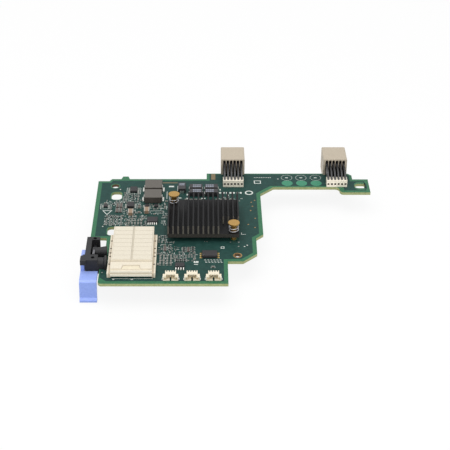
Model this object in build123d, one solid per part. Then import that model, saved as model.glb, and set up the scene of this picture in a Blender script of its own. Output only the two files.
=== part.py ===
from build123d import *
import os
from math import cos, pi, radians, sin, tan

# A mezzanine network card: a stepped circuit board with its connectors, heat sink and release lever.
# Millimetres. The datum hole's centre on the component face is the origin, +Z leaves that face,
# +X runs along the long side and +Y points to the edge with the two midplane connectors.

# Circuit board outline, measured from the datum hole
BOARD_THICK = 1.6
BOARD_LEFT = 76.5
BOARD_FRONT = 25.8
BOARD_FRONT_RIGHT = 5.1
CORNER_CUT = 1.2
BAY_FRONT_INSET = 6.7
BAY_REAR_INSET = 8.6
BAY_STEP_Y = -4.0
BAY_REAR_Y = 16.9
BAY_CORNER_R = 1.2
SHELF_REAR_Y = 77.3
SHELF_WIDTH = 6.2
MAIN_REAR_Y = 79.7
TAB_CENTRE_X = -61.4
TAB_WIDTH = 3.0
TAB_FLARE = 0.9
TAB_HEIGHT = 3.0
CONNECTOR_EDGE_Y = 86.1
CONNECTOR_EDGE_LEFT = -15.6
CONNECTOR_EDGE_RIGHT = 66.6
EDGE_CUT = 2.2
ARM_RIGHT = 75.3
ARM_STEP_Y = 79.4
ARM_FRONT_Y = 70.4
PAW_LEFT = 58.4
PAW_FRONT_Y = 64.6
PAW_BEND_R = 2.4
LEG_RIGHT = 14.0
LEG_FOOT_Y = 20.4
ELBOW_CUT = 7.6
STEM_RIGHT = 10.1
STEM_FOOT_Y = 2.2
STEM_CUT = 7.3
LEDGE_Y = -5.6

# Holes through the board
DATUM_HOLE_R = 1.65
GUIDE_HOLE_R = 2.15
GUIDE_HOLE_AT = (-66.6, 71.6)
KEY_SLOT_WIDTH = 5.8
KEY_SLOT_LENGTH = 8.4
KEY_SLOT_X = -65.3
KEY_SLOT_YS = (60.8, 23.7)
KEY_SLOT_CORNER_R = 2.2
END_SLOT_LENGTH = 6.9
END_SLOT_WIDTH = 4.9
END_SLOT_AT = (70.5, 71.8)

# Midplane connectors at the rear edge
MIDPLANE_XS = {"left": -0.8, "right": 57.1}
COLUMNS = 6
COLUMN_PITCH = 1.9
HOOD_LENGTH = 15.0
HOOD_LAP = 1.4
HOOD_TOP = 9.8
HOOD_DROP = 1.4
HOOD_SIDE_WALL = 0.95
HOOD_ROOF = 0.6
HOOD_BACK_WALL = 5.5
HOOD_EDGE = 0.4
HOOD_GAP = 0.3
WAFER_THICK = 0.9
WAFER_SLOT_GAP = 0.3
ARCH_SIDES = 12
WAFER_STEP_Z = 6.8
WAFER_HEAD_ROOM = 2.0
WAFER_STEP_RUN = 7.4
WAFER_NOSE_Z = 2.8
WAFER_SHOULDER_RUN = 1.3
CAVITY_WIDTH = 1.1
CAVITY_MARGIN = 1.2
CAVITY_DEPTH = 4.0
ORGANIZER_DEPTH = 4.4
ORGANIZER_HEIGHT = 4.1
ORGANIZER_SETBACK = 0.2
ORGANIZER_WALL = 0.9
ORGANIZER_GAP = 0.1
EYE_SIZE = 1.1
EYE_Z = 1.9
TAIL_WIDTH = 0.45
TAIL_LENGTH = 1.1
TAIL_ROWS = 2
TAIL_PITCH = 6.6

# Mezzanine (board to board) connector
MEZZ_X = -53.5
MEZZ_FRONT_Y = -20.4
MEZZ_LENGTH = 39.7
MEZZ_WIDTH = 20.8
DECK_LENGTH = 32.2
DECK_TOP = 5.6
DECK_RIM = 0.5
DECK_RECESS = 0.9
NOSE_TOP = 4.9
NOSE_UNDERCUT = 1.1
NOSE_UNDERCUT_DEPTH = 1.5
LIP_HEIGHT = 1.2
LIP_OUT = 0.6
FOOT_WIDTH = 1.7
RAIL_WIDTH = 1.7
RAIL_HEIGHT = 2.6
RAIL_SETBACK = 3.5
RAIL_SLOT = 1.0
RAIL_SLOT_YS = (-12.0, -4.8, -1.6, 2.6, 9.8)
PLAQUE_FRONT = 10.0
PLAQUE_REAR = 8.6
PLAQUE_LENGTH = 4.2
PLAQUE_DEPTH = 0.45
LEDGE_DEPTH = 1.0
LEDGE_DROP = 0.9
CENTRE_GROOVE = 0.8
PLATE_ROWS = 8
PLATE_GAP = 0.16
PLATE_PROUD = 0.2

# Controller chip and its finned heat sink
SINK_CENTRE = (-17.5, 31.1)
SINK_WIDTH = 37.4
SINK_DEPTH = 35.6
SINK_BASE = 2.1
FIN_COUNT = 15
FIN_THICK = 0.85
FIN_HEIGHT = 4.8
POCKET_FINS = 4
POCKET_LENGTH = 9.9
CHIP_SIZE = 27.0
CHIP_SUBSTRATE = 1.1
CHIP_LID_SIZE = 23.0
CHIP_LID = 1.15
PAD_SIZE = 22.0
PAD_THICK = 0.25

# Spring push pins at two corners of the heat sink
PIN_INSET_X = 2.9
PIN_INSET_Y = 3.0
PIN_HEAD_R = 2.95
PIN_HEAD_THICK = 0.6
PIN_TAPER = 1.9
PIN_SHANK_R = 1.4
PIN_TOP_ABOVE_BASE = 5.3
PIN_BARB_R = 1.85
PIN_BARB_LENGTH = 2.4
PIN_BARB_THICK = 1.4
PIN_TIP_R = 1.0
PIN_HOLE_GAP = 0.15
SPRING_MEAN_R = 2.4
SPRING_WIRE = 0.6
SPRING_TURNS = 3.2
SPRING_SIDES = 10

# Power inductors
INDUCTOR_X = -45.1
INDUCTOR_YS = {"rear": 67.7, "front": 57.0}
INDUCTOR_WIDTH = 9.5
INDUCTOR_DEPTH = 9.2
INDUCTOR_HEIGHT = 4.0
INDUCTOR_EDGE = 0.5
TERMINAL_WIDTH = 3.0
TERMINAL_THICK = 0.35
TERMINAL_HEIGHT = 2.2
TERMINAL_FOOT = 1.0

# Moulded polymer capacitors
POLYMER_LENGTH = 7.3
POLYMER_WIDTH = 4.3
POLYMER_HEIGHT = 2.8
POLYMER_CLIP = 2.4
POLYMER_CLIP_THICK = 0.2
POLYMER_CLIP_HEIGHT = 1.5
POLYMER_PLACES = ((-21.6, 67.2, 0), (-21.6, 61.9, 0), (-13.0, 67.2, 0), (-13.0, 61.9, 0), (-29.4, 67.3, 90))

# Large ceramic capacitors
CERAMIC_LENGTH = 4.4
CERAMIC_WIDTH = 3.0
CERAMIC_HEIGHT = 2.0
CERAMIC_PLACES = ((-56.7, 41.6), (-48.1, 43.6))

# Leaded chips: body X, body Y, height, leads a side, lead pitch, sides that carry the leads
LEAD_THICK = 0.2
LEAD_FOOT = 0.6
LEAD_REACH = 1.05
LEAD_WIDTH = 0.42
CHIP_STANDOFF = 0.1
CHIP_DRAFT = 0.12
POWER_CHIP_X = 3.9
POWER_CHIP_Y = 4.9
POWER_CHIP_HEIGHT = 1.5
POWER_CHIP_PLACES = {"rear": (-56.1, 66.3), "front": (-57.1, 49.6)}
REGULATOR_X = 5.8
REGULATOR_Y = 5.2
REGULATOR_HEIGHT = 1.5
REGULATOR_AT = (-44.7, 33.6)
MEMORY_X = 7.8
MEMORY_Y = 5.3
MEMORY_HEIGHT = 1.7
MEMORY_AT = (-14.3, -0.2)
EEPROM_X = 4.9
EEPROM_Y = 3.9
EEPROM_HEIGHT = 1.5
EEPROM_AT = (-29.4, -10.5)
LOGIC_X = 2.2
LOGIC_Y = 2.6
LOGIC_HEIGHT = 1.0
LOGIC_PLACES = ((-70.6, 49.2), (-48.2, 49.3), (-43.2, 49.3))
SOIC_LEAD_COUNT = 4
SOIC_PITCH = 1.27
REGULATOR_LEAD_COUNT = 5
REGULATOR_PITCH = 1.1
MEMORY_LEAD_COUNT = 3
MEMORY_PITCH = 1.9
LOGIC_LEAD_COUNT = 2
LOGIC_PITCH = 1.3

# Small chip parts
CHIP_R_LENGTH = 1.6
CHIP_R_WIDTH = 0.8
CHIP_R_HEIGHT = 0.45
CHIP_C_LENGTH = 1.6
CHIP_C_WIDTH = 0.8
CHIP_C_HEIGHT = 0.8
ARRAY_LENGTH = 4.2
ARRAY_WIDTH = 1.5
ARRAY_HEIGHT = 0.6
ARRAY_PLACES = ((-25.2, 5.2), (-37.3, 6.0), (-64.2, 50.0), (-62.3, 50.0), (-64.2, 44.8), (-62.3, 44.8))
# Each field of small parts: first x, first y, step x, step y, columns, rows, turn of its parts
RESISTOR_FIELDS = (
    (-60.6, 61.6, 1.3, 0, 2, 1, 90),
    (-61.3, 55.6, 1.4, 2.9, 2, 2, 90),
    (-65.0, 54.3, 1.6, 0, 2, 1, 90),
    (-56.0, 56.3, 0, 2.35, 1, 3, 0),
    (-66.8, 37.8, 2.2, 0, 3, 1, 0),
    (-69.4, 31.2, 2.0, 2.6, 5, 2, 90),
    (-50.6, 37.4, 1.5, 0, 2, 1, 90),
    (-35.0, 5.8, 0, 1.9, 1, 2, 0),
    (-27.5, 3.5, 0, 1.8, 1, 3, 0),
    (-22.9, 3.6, 0, 1.9, 1, 3, 0),
    (-32.4, -0.8, 1.5, 0, 8, 1, 90),
    (-31.0, -5.4, 2.0, 1.5, 3, 2, 0),
)
CAPACITOR_FIELDS = (
    (-57.0, 37.6, 1.6, 0, 3, 1, 90),
    (-57.2, 30.6, 1.65, 3.0, 5, 2, 90),
    (-52.4, 47.6, 0, 2.0, 1, 2, 0),
    (-52.2, 42.4, 0, 2.0, 1, 1, 0),
    (-53.3, 55.6, 0, 3.2, 1, 3, 90),
    (-38.4, 47.6, 0, 2.8, 1, 2, 90),
    (-39.4, -8.2, 1.8, 2.3, 4, 4, 90),
    (-10.0, 55.9, 2.5, 1.9, 4, 1, 0),
    (-26.9, 55.9, 2.6, 1.9, 4, 1, 0),
    (-12.6, -11.2, 0, 0, 1, 1, 0),
)

# Right-angle wire headers along the front edge
HEADER_XS = {"left": -33.8, "middle": -23.1, "right": -12.4}
HEADER_FRONT_GAP = 2.6
HEADER_WIDTH = 7.6
HEADER_TOP_WIDTH = 5.4
HEADER_DEPTH = 4.3
HEADER_HEIGHT = 3.3
HEADER_SHOULDER = 2.5
HEADER_WING_DEPTH = 2.5
HEADER_WALL = 0.55
HEADER_BACK_WALL = 1.1
HEADER_COUNT = 4
HEADER_PITCH = 1.25
HEADER_KEY = 0.9
CONTACT_WIDTH = 0.4
CONTACT_GAP = 0.05
CONTACT_HEIGHT = 0.45
CONTACT_TAIL = 0.9
SOLDER_TAB_WIDTH = 0.55
SOLDER_TAB_DEPTH = 1.8
SOLDER_TAB_HEIGHT = 1.3

# Lever bracket in the board's front left bay
LEVER_OVERHANG = 2.8
LEVER_BAY_GAP = 0.8
BRACKET_TOP = 5.5
BRACKET_FLOOR = 2.2
BRACKET_OVERHANG = 0.7
BRACKET_BAR_WIDTH = 2.7
BRACKET_REAR_Y = 9.2
PIVOT_Y = -10.3
PIVOT_Z = 2.4
BLOCK_HALF = 2.7
POST_DEPTH = 2.8
POST_HOLE_R = 0.95
POST_HOLE_DEPTH = 3.0
BRACKET_HOLE_INSET = 3.4
CAP_ROOF = 0.75
CAP_LIP = 2.5
CAP_LIP_THICK = 0.8
CAP_CUT = 1.5
BOSS_R = 2.5
BOSS_REACH = 3.1
REAR_BOSS_Y = -0.6
CLIP_THICK = 1.1
RIB_WIDTH = 1.3
RIB_TOP = 2.4

# Release lever and its pin
LEVER_GAP = 0.3
ARM_THICK = 2.0
ARM_REAR_Y = 0.1
ARM_TAIL_HEIGHT = 2.2
ARM_END_R = 2.0
PLATE_TOP = -0.8
PLATE_THICK = 1.5
PLATE_LENGTH = 9.2
PLATE_BEND_R = 1.6
TAB_DROP = 11.2
TAB_LEAN = 7.0
TAB_LIP = 0.9
TAB_LIP_THICK = 2.2
PIVOT_R = 0.9
PIVOT_GAP = 0.05
PIVOT_SEAT = 5.0

os.makedirs("parts", exist_ok=True)


def block(x0, x1, y0, y1, z0, z1):
    """Box between two opposite corners."""
    return Pos((x0 + x1) / 2, (y0 + y1) / 2, (z0 + z1) / 2) * Box(x1 - x0, y1 - y0, z1 - z0)


def upright(radius, x, y, z0, z1):
    """Round bar along Z."""
    return Pos(x, y, (z0 + z1) / 2) * Cylinder(radius, z1 - z0)


def crosswise(radius, x0, x1, y, z):
    """Round bar along X."""
    return Pos((x0 + x1) / 2, y, z) * Rot(0, 90, 0) * Cylinder(radius, x1 - x0)


def side_plate(points, x0, x1):
    """Plate with a Y-Z outline, from x0 to x1."""
    face = make_face(Polyline(*[(0, y, z) for y, z in points], close=True))
    return Pos(x0, 0, 0) * extrude(face, amount=x1 - x0, dir=(1, 0, 0))


def flat_plate(points, z0, z1):
    """Plate with an X-Y outline, from z0 to z1."""
    face = make_face(Polyline(*[(x, y, z0) for x, y in points], close=True))
    return extrude(face, amount=z1 - z0, dir=(0, 0, 1))


def centred(count, pitch):
    """Places of a row that is centred on zero."""
    return [(i - (count - 1) / 2) * pitch for i in range(count)]


def save(name, shapes):
    """One STEP file for one node, holding one solid or a group of like solids."""
    shapes = shapes if isinstance(shapes, list) else [shapes]
    solids = [solid for shape in shapes for solid in shape.solids()]
    export_step(Compound(children=solids) if len(solids) > 1 else solids[0], f"parts/{name}.step")


# Values that several pieces share
BAY_WALL_FRONT = -BOARD_LEFT + BAY_FRONT_INSET
BAY_WALL_REAR = -BOARD_LEFT + BAY_REAR_INSET
LEVER_LEFT = -BOARD_LEFT - LEVER_OVERHANG
LEVER_RIGHT = BAY_WALL_FRONT - LEVER_BAY_GAP
BRACKET_LEFT = -BOARD_LEFT - BRACKET_OVERHANG
BRACKET_HOLE_X = -BOARD_LEFT + BRACKET_HOLE_INSET
SINK_LEFT = SINK_CENTRE[0] - SINK_WIDTH / 2
SINK_RIGHT = SINK_CENTRE[0] + SINK_WIDTH / 2
SINK_FRONT = SINK_CENTRE[1] - SINK_DEPTH / 2
SINK_REAR = SINK_CENTRE[1] + SINK_DEPTH / 2
SINK_BOTTOM = CHIP_SUBSTRATE + CHIP_LID + PAD_THICK
SINK_BASE_TOP = SINK_BOTTOM + SINK_BASE
PIN_PLACES = {
    "rear": (SINK_LEFT + PIN_INSET_X, SINK_REAR - PIN_INSET_Y),
    "front": (SINK_RIGHT - PIN_INSET_X, SINK_FRONT + PIN_INSET_Y),
}
PIN_HOLE_R = PIN_SHANK_R + PIN_HOLE_GAP
HOOD_FRONT = CONNECTOR_EDGE_Y - HOOD_LAP
HOOD_REAR = HOOD_FRONT + HOOD_LENGTH
HOOD_BOTTOM = -BOARD_THICK - HOOD_DROP
STACK_WIDTH = COLUMNS * COLUMN_PITCH
SLOT_WIDTH = WAFER_THICK + 2 * WAFER_SLOT_GAP
ORGANIZER_FRONT = ARM_FRONT_Y + ORGANIZER_SETBACK
WAFER_FRONT = ORGANIZER_FRONT + ORGANIZER_WALL
WAFER_REAR = HOOD_REAR - HOOD_BACK_WALL - HOOD_GAP
WAFER_TOP = HOOD_TOP - HOOD_ROOF - WAFER_HEAD_ROOM
HEADER_FRONT = -BOARD_FRONT + HEADER_FRONT_GAP
HEADER_REAR = HEADER_FRONT + HEADER_DEPTH


def circuit_board():
    """Stepped glass-fibre board with its guide holes, key slots and lever bay."""
    left = -BOARD_LEFT
    front = -BOARD_FRONT
    shelf = left + SHELF_WIDTH
    tab = TAB_WIDTH / 2
    outline = [
        (BAY_WALL_FRONT + CORNER_CUT, front),
        (-BOARD_FRONT_RIGHT, front),
        (-BOARD_FRONT_RIGHT, LEDGE_Y),
        (STEM_RIGHT - STEM_CUT, LEDGE_Y),
        (STEM_RIGHT, LEDGE_Y + STEM_CUT),
        (STEM_RIGHT, LEG_FOOT_Y - (LEG_RIGHT - STEM_RIGHT)),
        (LEG_RIGHT, LEG_FOOT_Y),
        (LEG_RIGHT, ARM_FRONT_Y - ELBOW_CUT),
        (LEG_RIGHT + ELBOW_CUT, ARM_FRONT_Y),
        (PAW_LEFT, ARM_FRONT_Y),
        (PAW_LEFT, PAW_FRONT_Y),
        (ARM_RIGHT, PAW_FRONT_Y),
        (ARM_RIGHT, ARM_STEP_Y),
        (CONNECTOR_EDGE_RIGHT, ARM_STEP_Y),
        (CONNECTOR_EDGE_RIGHT, CONNECTOR_EDGE_Y - EDGE_CUT),
        (CONNECTOR_EDGE_RIGHT - EDGE_CUT, CONNECTOR_EDGE_Y),
        (CONNECTOR_EDGE_LEFT, CONNECTOR_EDGE_Y),
        (CONNECTOR_EDGE_LEFT, MAIN_REAR_Y),
        (TAB_CENTRE_X + tab + TAB_FLARE, MAIN_REAR_Y),
        (TAB_CENTRE_X + tab, MAIN_REAR_Y + TAB_HEIGHT),
        (TAB_CENTRE_X - tab, MAIN_REAR_Y + TAB_HEIGHT),
        (TAB_CENTRE_X - tab - TAB_FLARE, MAIN_REAR_Y),
        (shelf + (MAIN_REAR_Y - SHELF_REAR_Y) / 2, MAIN_REAR_Y),
        (shelf, SHELF_REAR_Y),
        (left, SHELF_REAR_Y),
        (left, BAY_REAR_Y),
        (BAY_WALL_REAR, BAY_REAR_Y),
        (BAY_WALL_REAR, BAY_STEP_Y),
        (BAY_WALL_FRONT, BAY_STEP_Y),
        (BAY_WALL_FRONT, front + CORNER_CUT),
    ]
    face = make_face(Polyline(*outline, close=True))
    bends = {(PAW_LEFT, ARM_FRONT_Y): PAW_BEND_R, (PAW_LEFT, PAW_FRONT_Y): PAW_BEND_R,
             (BAY_WALL_REAR, BAY_REAR_Y): BAY_CORNER_R}
    for (x, y), radius in bends.items():
        corner = face.vertices().sort_by_distance((x, y, 0))[0]
        face = fillet(corner, radius)
    board = extrude(face, amount=BOARD_THICK, dir=(0, 0, -1))
    bottom = -BOARD_THICK
    board -= upright(DATUM_HOLE_R, 0, 0, bottom, 0)
    board -= upright(GUIDE_HOLE_R, *GUIDE_HOLE_AT, bottom, 0)
    for x, y in PIN_PLACES.values():
        board -= upright(PIN_HOLE_R, x, y, bottom, 0)
    key_outline = RectangleRounded(KEY_SLOT_WIDTH, KEY_SLOT_LENGTH, KEY_SLOT_CORNER_R)
    key_slot = extrude(key_outline, amount=-BOARD_THICK)
    for y in KEY_SLOT_YS:
        board -= Pos(KEY_SLOT_X, y, 0) * key_slot
    end_slot = extrude(SlotOverall(END_SLOT_LENGTH, END_SLOT_WIDTH), amount=-BOARD_THICK)
    return board - Pos(*END_SLOT_AT, 0) * end_slot


def midplane_hood(cx):
    """Moulded hood that laps the board's rear edge, slotted in front and open to its contacts behind."""
    half = STACK_WIDTH / 2 + HOOD_SIDE_WALL
    hood = block(cx - half, cx + half, HOOD_FRONT, HOOD_REAR, HOOD_BOTTOM, HOOD_TOP)
    hood = chamfer(hood.edges().filter_by(Axis.Y).group_by(Axis.Z)[-1], HOOD_EDGE)
    lap = CONNECTOR_EDGE_Y + HOOD_GAP
    hood -= block(cx - half, cx + half, HOOD_FRONT, lap, HOOD_BOTTOM, 0)
    slot_floor = HOOD_BOTTOM + HOOD_ROOF
    crown = HOOD_TOP - HOOD_ROOF - SLOT_WIDTH / 2
    slot_end = HOOD_REAR - HOOD_BACK_WALL
    for dx in centred(COLUMNS, COLUMN_PITCH):
        x = cx + dx
        slot = block(x - SLOT_WIDTH / 2, x + SLOT_WIDTH / 2, HOOD_FRONT, slot_end, slot_floor, crown)
        arch = Pos(x, slot_end, crown) * Rot(90, 0, 0) * RegularPolygon(SLOT_WIDTH / 2, ARCH_SIDES)
        hood -= slot + extrude(arch, slot_end - HOOD_FRONT)
        hood -= block(x - CAVITY_WIDTH / 2, x + CAVITY_WIDTH / 2, HOOD_REAR - CAVITY_DEPTH, HOOD_REAR,
                      HOOD_BOTTOM + CAVITY_MARGIN, HOOD_TOP - CAVITY_MARGIN)
    return hood


def midplane_wafers(cx):
    """Row of black moulded wafers that step down from the hood to the organizer."""
    nose_back = ORGANIZER_FRONT + ORGANIZER_DEPTH + ORGANIZER_GAP
    shoulder = HOOD_FRONT - WAFER_SHOULDER_RUN
    lap = CONNECTOR_EDGE_Y + HOOD_GAP
    sole = -BOARD_THICK
    outline = [
        (nose_back, 0), (nose_back, WAFER_NOSE_Z), (WAFER_FRONT, WAFER_NOSE_Z),
        (WAFER_FRONT, ORGANIZER_HEIGHT - ORGANIZER_GAP), (shoulder - WAFER_STEP_RUN, WAFER_STEP_Z),
        (shoulder, WAFER_STEP_Z), (HOOD_FRONT, WAFER_TOP), (WAFER_REAR, WAFER_TOP),
        (WAFER_REAR, sole), (lap, sole), (lap, 0),
    ]
    return [side_plate(outline, cx + dx - WAFER_THICK / 2, cx + dx + WAFER_THICK / 2)
            for dx in centred(COLUMNS, COLUMN_PITCH)]


def midplane_organizer(cx):
    """Pale comb at the wafers' feet: notches above take their noses, square eyes show below."""
    half = STACK_WIDTH / 2
    comb_rear = ORGANIZER_FRONT + ORGANIZER_DEPTH
    comb = block(cx - half, cx + half, ORGANIZER_FRONT, comb_rear, 0, ORGANIZER_HEIGHT)
    notch = WAFER_THICK / 2 + ORGANIZER_GAP
    notch_front = WAFER_FRONT - ORGANIZER_GAP
    for dx in centred(COLUMNS, COLUMN_PITCH):
        x = cx + dx
        comb -= block(x - notch, x + notch, notch_front, ORGANIZER_FRONT + ORGANIZER_DEPTH,
                      WAFER_NOSE_Z - ORGANIZER_GAP, ORGANIZER_HEIGHT)
        comb -= block(x - EYE_SIZE / 2, x + EYE_SIZE / 2, ORGANIZER_FRONT, ORGANIZER_FRONT + EYE_SIZE,
                      EYE_Z - EYE_SIZE / 2, EYE_Z + EYE_SIZE / 2)
    return comb


def midplane_tails(cx):
    """Press-fit tails of the wafers where they come through the board."""
    middle = (ORGANIZER_FRONT + CONNECTOR_EDGE_Y) / 2
    half = TAIL_WIDTH / 2
    return [block(cx + dx - half, cx + dx + half, middle + dy - half, middle + dy + half,
                  -BOARD_THICK - TAIL_LENGTH, -BOARD_THICK)
            for dx in centred(COLUMNS, COLUMN_PITCH) for dy in centred(TAIL_ROWS, TAIL_PITCH)]


def mezzanine_housing():
    """Cream moulded body: a recessed deck behind a lower nose, a rail of slots down each side."""
    half = MEZZ_WIDTH / 2
    rear = MEZZ_FRONT_Y + MEZZ_LENGTH
    deck_front = rear - DECK_LENGTH
    body = block(MEZZ_X - half, MEZZ_X + half, MEZZ_FRONT_Y, rear, 0, NOSE_TOP)
    body += block(MEZZ_X - half, MEZZ_X + half, deck_front, rear, NOSE_TOP, DECK_TOP)
    for side in (-1, 1):
        inner = MEZZ_X + side * half
        outer = inner + side * RAIL_WIDTH
        rail_left = min(inner, outer)
        body += block(rail_left, rail_left + RAIL_WIDTH, MEZZ_FRONT_Y, rear - RAIL_SETBACK, 0, RAIL_HEIGHT)
        for y in RAIL_SLOT_YS:
            slot_x = (inner + outer) / 2
            body -= block(slot_x - RAIL_SLOT / 2, slot_x + RAIL_SLOT / 2,
                          y - RAIL_SLOT / 2, y + RAIL_SLOT / 2, RAIL_HEIGHT / 2, RAIL_HEIGHT)
    full = half + RAIL_WIDTH
    body -= block(MEZZ_X - full + FOOT_WIDTH, MEZZ_X + full - FOOT_WIDTH, MEZZ_FRONT_Y,
                  MEZZ_FRONT_Y + NOSE_UNDERCUT_DEPTH, 0, NOSE_UNDERCUT)
    body += block(MEZZ_X - full + FOOT_WIDTH, MEZZ_X + full - FOOT_WIDTH, MEZZ_FRONT_Y - LIP_OUT,
                  MEZZ_FRONT_Y, NOSE_UNDERCUT, NOSE_UNDERCUT + LIP_HEIGHT)
    plaque = [(MEZZ_X - PLAQUE_FRONT / 2, MEZZ_FRONT_Y), (MEZZ_X + PLAQUE_FRONT / 2, MEZZ_FRONT_Y),
              (MEZZ_X + PLAQUE_REAR / 2, MEZZ_FRONT_Y + PLAQUE_LENGTH),
              (MEZZ_X - PLAQUE_REAR / 2, MEZZ_FRONT_Y + PLAQUE_LENGTH)]
    body -= flat_plate(plaque, NOSE_TOP - PLAQUE_DEPTH, NOSE_TOP)
    body -= block(MEZZ_X - half, MEZZ_X + half, MEZZ_FRONT_Y, MEZZ_FRONT_Y + LEDGE_DEPTH,
                  NOSE_TOP - LEDGE_DROP, NOSE_TOP)
    for x0, x1, y0, y1 in deck_wells():
        body -= block(x0, x1, y0, y1, DECK_TOP - DECK_RECESS, DECK_TOP)
    return body


def deck_wells():
    """Two wells in the deck, either side of its centre groove."""
    half = MEZZ_WIDTH / 2
    rear = MEZZ_FRONT_Y + MEZZ_LENGTH
    y0, y1 = rear - DECK_LENGTH + DECK_RIM, rear - DECK_RIM
    groove = CENTRE_GROOVE / 2
    return [(MEZZ_X - half + DECK_RIM, MEZZ_X - groove, y0, y1),
            (MEZZ_X + groove, MEZZ_X + half - DECK_RIM, y0, y1)]


def mezzanine_plates():
    """Contact plates laid edge to edge in the two wells of the deck."""
    plates = []
    top = DECK_TOP + PLATE_PROUD
    for x0, x1, y0, y1 in deck_wells():
        pitch = (y1 - y0) / PLATE_ROWS
        for row in range(PLATE_ROWS):
            start = y0 + row * pitch + PLATE_GAP / 2
            plates.append(block(x0 + PLATE_GAP / 2, x1 - PLATE_GAP / 2, start, start + pitch - PLATE_GAP,
                                DECK_TOP - DECK_RECESS, top))
    return plates


def controller_chip():
    """Ball-grid package: square substrate with a smaller moulded lid."""
    x, y = SINK_CENTRE
    chip = Pos(x, y, CHIP_SUBSTRATE / 2) * Box(CHIP_SIZE, CHIP_SIZE, CHIP_SUBSTRATE)
    return chip + Pos(x, y, CHIP_SUBSTRATE + CHIP_LID / 2) * Box(CHIP_LID_SIZE, CHIP_LID_SIZE, CHIP_LID)


def thermal_pad():
    """Soft pad between the chip and the heat sink."""
    return Pos(*SINK_CENTRE, SINK_BOTTOM - PAD_THICK / 2) * Box(PAD_SIZE, PAD_SIZE, PAD_THICK)


def heat_sink():
    """Extruded comb of thin fins on a base, milled clear at two corners for the push pins."""
    fin_top = SINK_BASE_TOP + FIN_HEIGHT
    pitch = (SINK_WIDTH - FIN_THICK) / (FIN_COUNT - 1)
    profile = [(SINK_LEFT, SINK_BOTTOM), (SINK_LEFT, fin_top), (SINK_LEFT + FIN_THICK, fin_top)]
    for i in range(FIN_COUNT - 1):
        gap_left = SINK_LEFT + i * pitch + FIN_THICK
        gap_right = SINK_LEFT + (i + 1) * pitch
        profile += [(gap_left, SINK_BASE_TOP), (gap_right, SINK_BASE_TOP),
                    (gap_right, fin_top), (gap_right + FIN_THICK, fin_top)]
    profile.append((SINK_RIGHT, SINK_BOTTOM))
    comb = make_face(Polyline(*[(x, SINK_FRONT, z) for x, z in profile], close=True))
    sink = extrude(comb, amount=SINK_DEPTH, dir=(0, 1, 0))
    pocket = POCKET_FINS * pitch - FIN_THICK
    sink -= block(SINK_LEFT, SINK_LEFT + pocket, SINK_REAR - POCKET_LENGTH, SINK_REAR,
                  SINK_BASE_TOP, fin_top)
    sink -= block(SINK_RIGHT - pocket, SINK_RIGHT, SINK_FRONT, SINK_FRONT + POCKET_LENGTH,
                  SINK_BASE_TOP, fin_top)
    for x, y in PIN_PLACES.values():
        sink -= upright(PIN_HOLE_R, x, y, SINK_BOTTOM, SINK_BASE_TOP)
    return sink


def push_pin(x, y):
    """Turned brass pin: tapered head, plain shank and a flat arrow barb that snaps under the board."""
    top = SINK_BASE_TOP + PIN_TOP_ABOVE_BASE
    under = top - PIN_HEAD_THICK
    neck = under - PIN_TAPER
    barb = -BOARD_THICK - PIN_HOLE_GAP
    tip = barb - PIN_BARB_LENGTH
    outline = [(0, barb), (PIN_SHANK_R, barb), (PIN_SHANK_R, neck),
               (PIN_HEAD_R, under), (PIN_HEAD_R, top), (0, top)]
    face = make_face(Polyline(*[(r, 0, z) for r, z in outline], close=True))
    arrow = [(-PIN_TIP_R, tip), (PIN_TIP_R, tip), (PIN_BARB_R, barb), (-PIN_BARB_R, barb)]
    pin = revolve(face, Axis.Z) + side_plate(arrow, -PIN_BARB_THICK / 2, PIN_BARB_THICK / 2)
    return Pos(x, y, 0) * pin


def pin_spring(x, y):
    """Steel coil spring between a pin's head and the heat sink's base."""
    rise = PIN_HEAD_THICK + PIN_TAPER * (PIN_HEAD_R - SPRING_MEAN_R) / (PIN_HEAD_R - PIN_SHANK_R)
    height = PIN_TOP_ABOVE_BASE - rise - 2 * SPRING_WIRE
    steps = round(SPRING_TURNS * SPRING_SIDES)
    turn = 2 * pi * SPRING_TURNS / steps
    start = SINK_BASE_TOP + SPRING_WIRE / 2
    points = [(x + SPRING_MEAN_R * cos(i * turn), y + SPRING_MEAN_R * sin(i * turn),
               start + height * i / steps) for i in range(steps + 1)]
    path = Polyline(*points)
    section = path.location_at(0) * RegularPolygon(SPRING_WIRE / 2, 4)
    return sweep(section, path=path, transition=Transition.RIGHT)


def inductor_core(y):
    """Pressed powder block with softened edges."""
    core = block(INDUCTOR_X - INDUCTOR_WIDTH / 2, INDUCTOR_X + INDUCTOR_WIDTH / 2, y - INDUCTOR_DEPTH / 2,
                 y + INDUCTOR_DEPTH / 2, TERMINAL_THICK, INDUCTOR_HEIGHT)
    core = chamfer(core.edges().filter_by(Axis.Z), INDUCTOR_EDGE)
    return chamfer(core.faces().sort_by(Axis.Z)[-1].edges(), INDUCTOR_EDGE / 2)


def inductor_terminals():
    """Folded terminals that carry both cores: up each side and a little way under."""
    clips = []
    for y in INDUCTOR_YS.values():
        for side in (-1, 1):
            wall = INDUCTOR_X + side * INDUCTOR_WIDTH / 2
            out = wall + side * TERMINAL_THICK
            under = wall - side * TERMINAL_FOOT
            y0, y1 = y - TERMINAL_WIDTH / 2, y + TERMINAL_WIDTH / 2
            clip = block(min(under, out), max(under, out), y0, y1, 0, TERMINAL_THICK)
            clips.append(clip + block(min(wall, out), max(wall, out), y0, y1, 0, TERMINAL_HEIGHT))
    return clips


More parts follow.
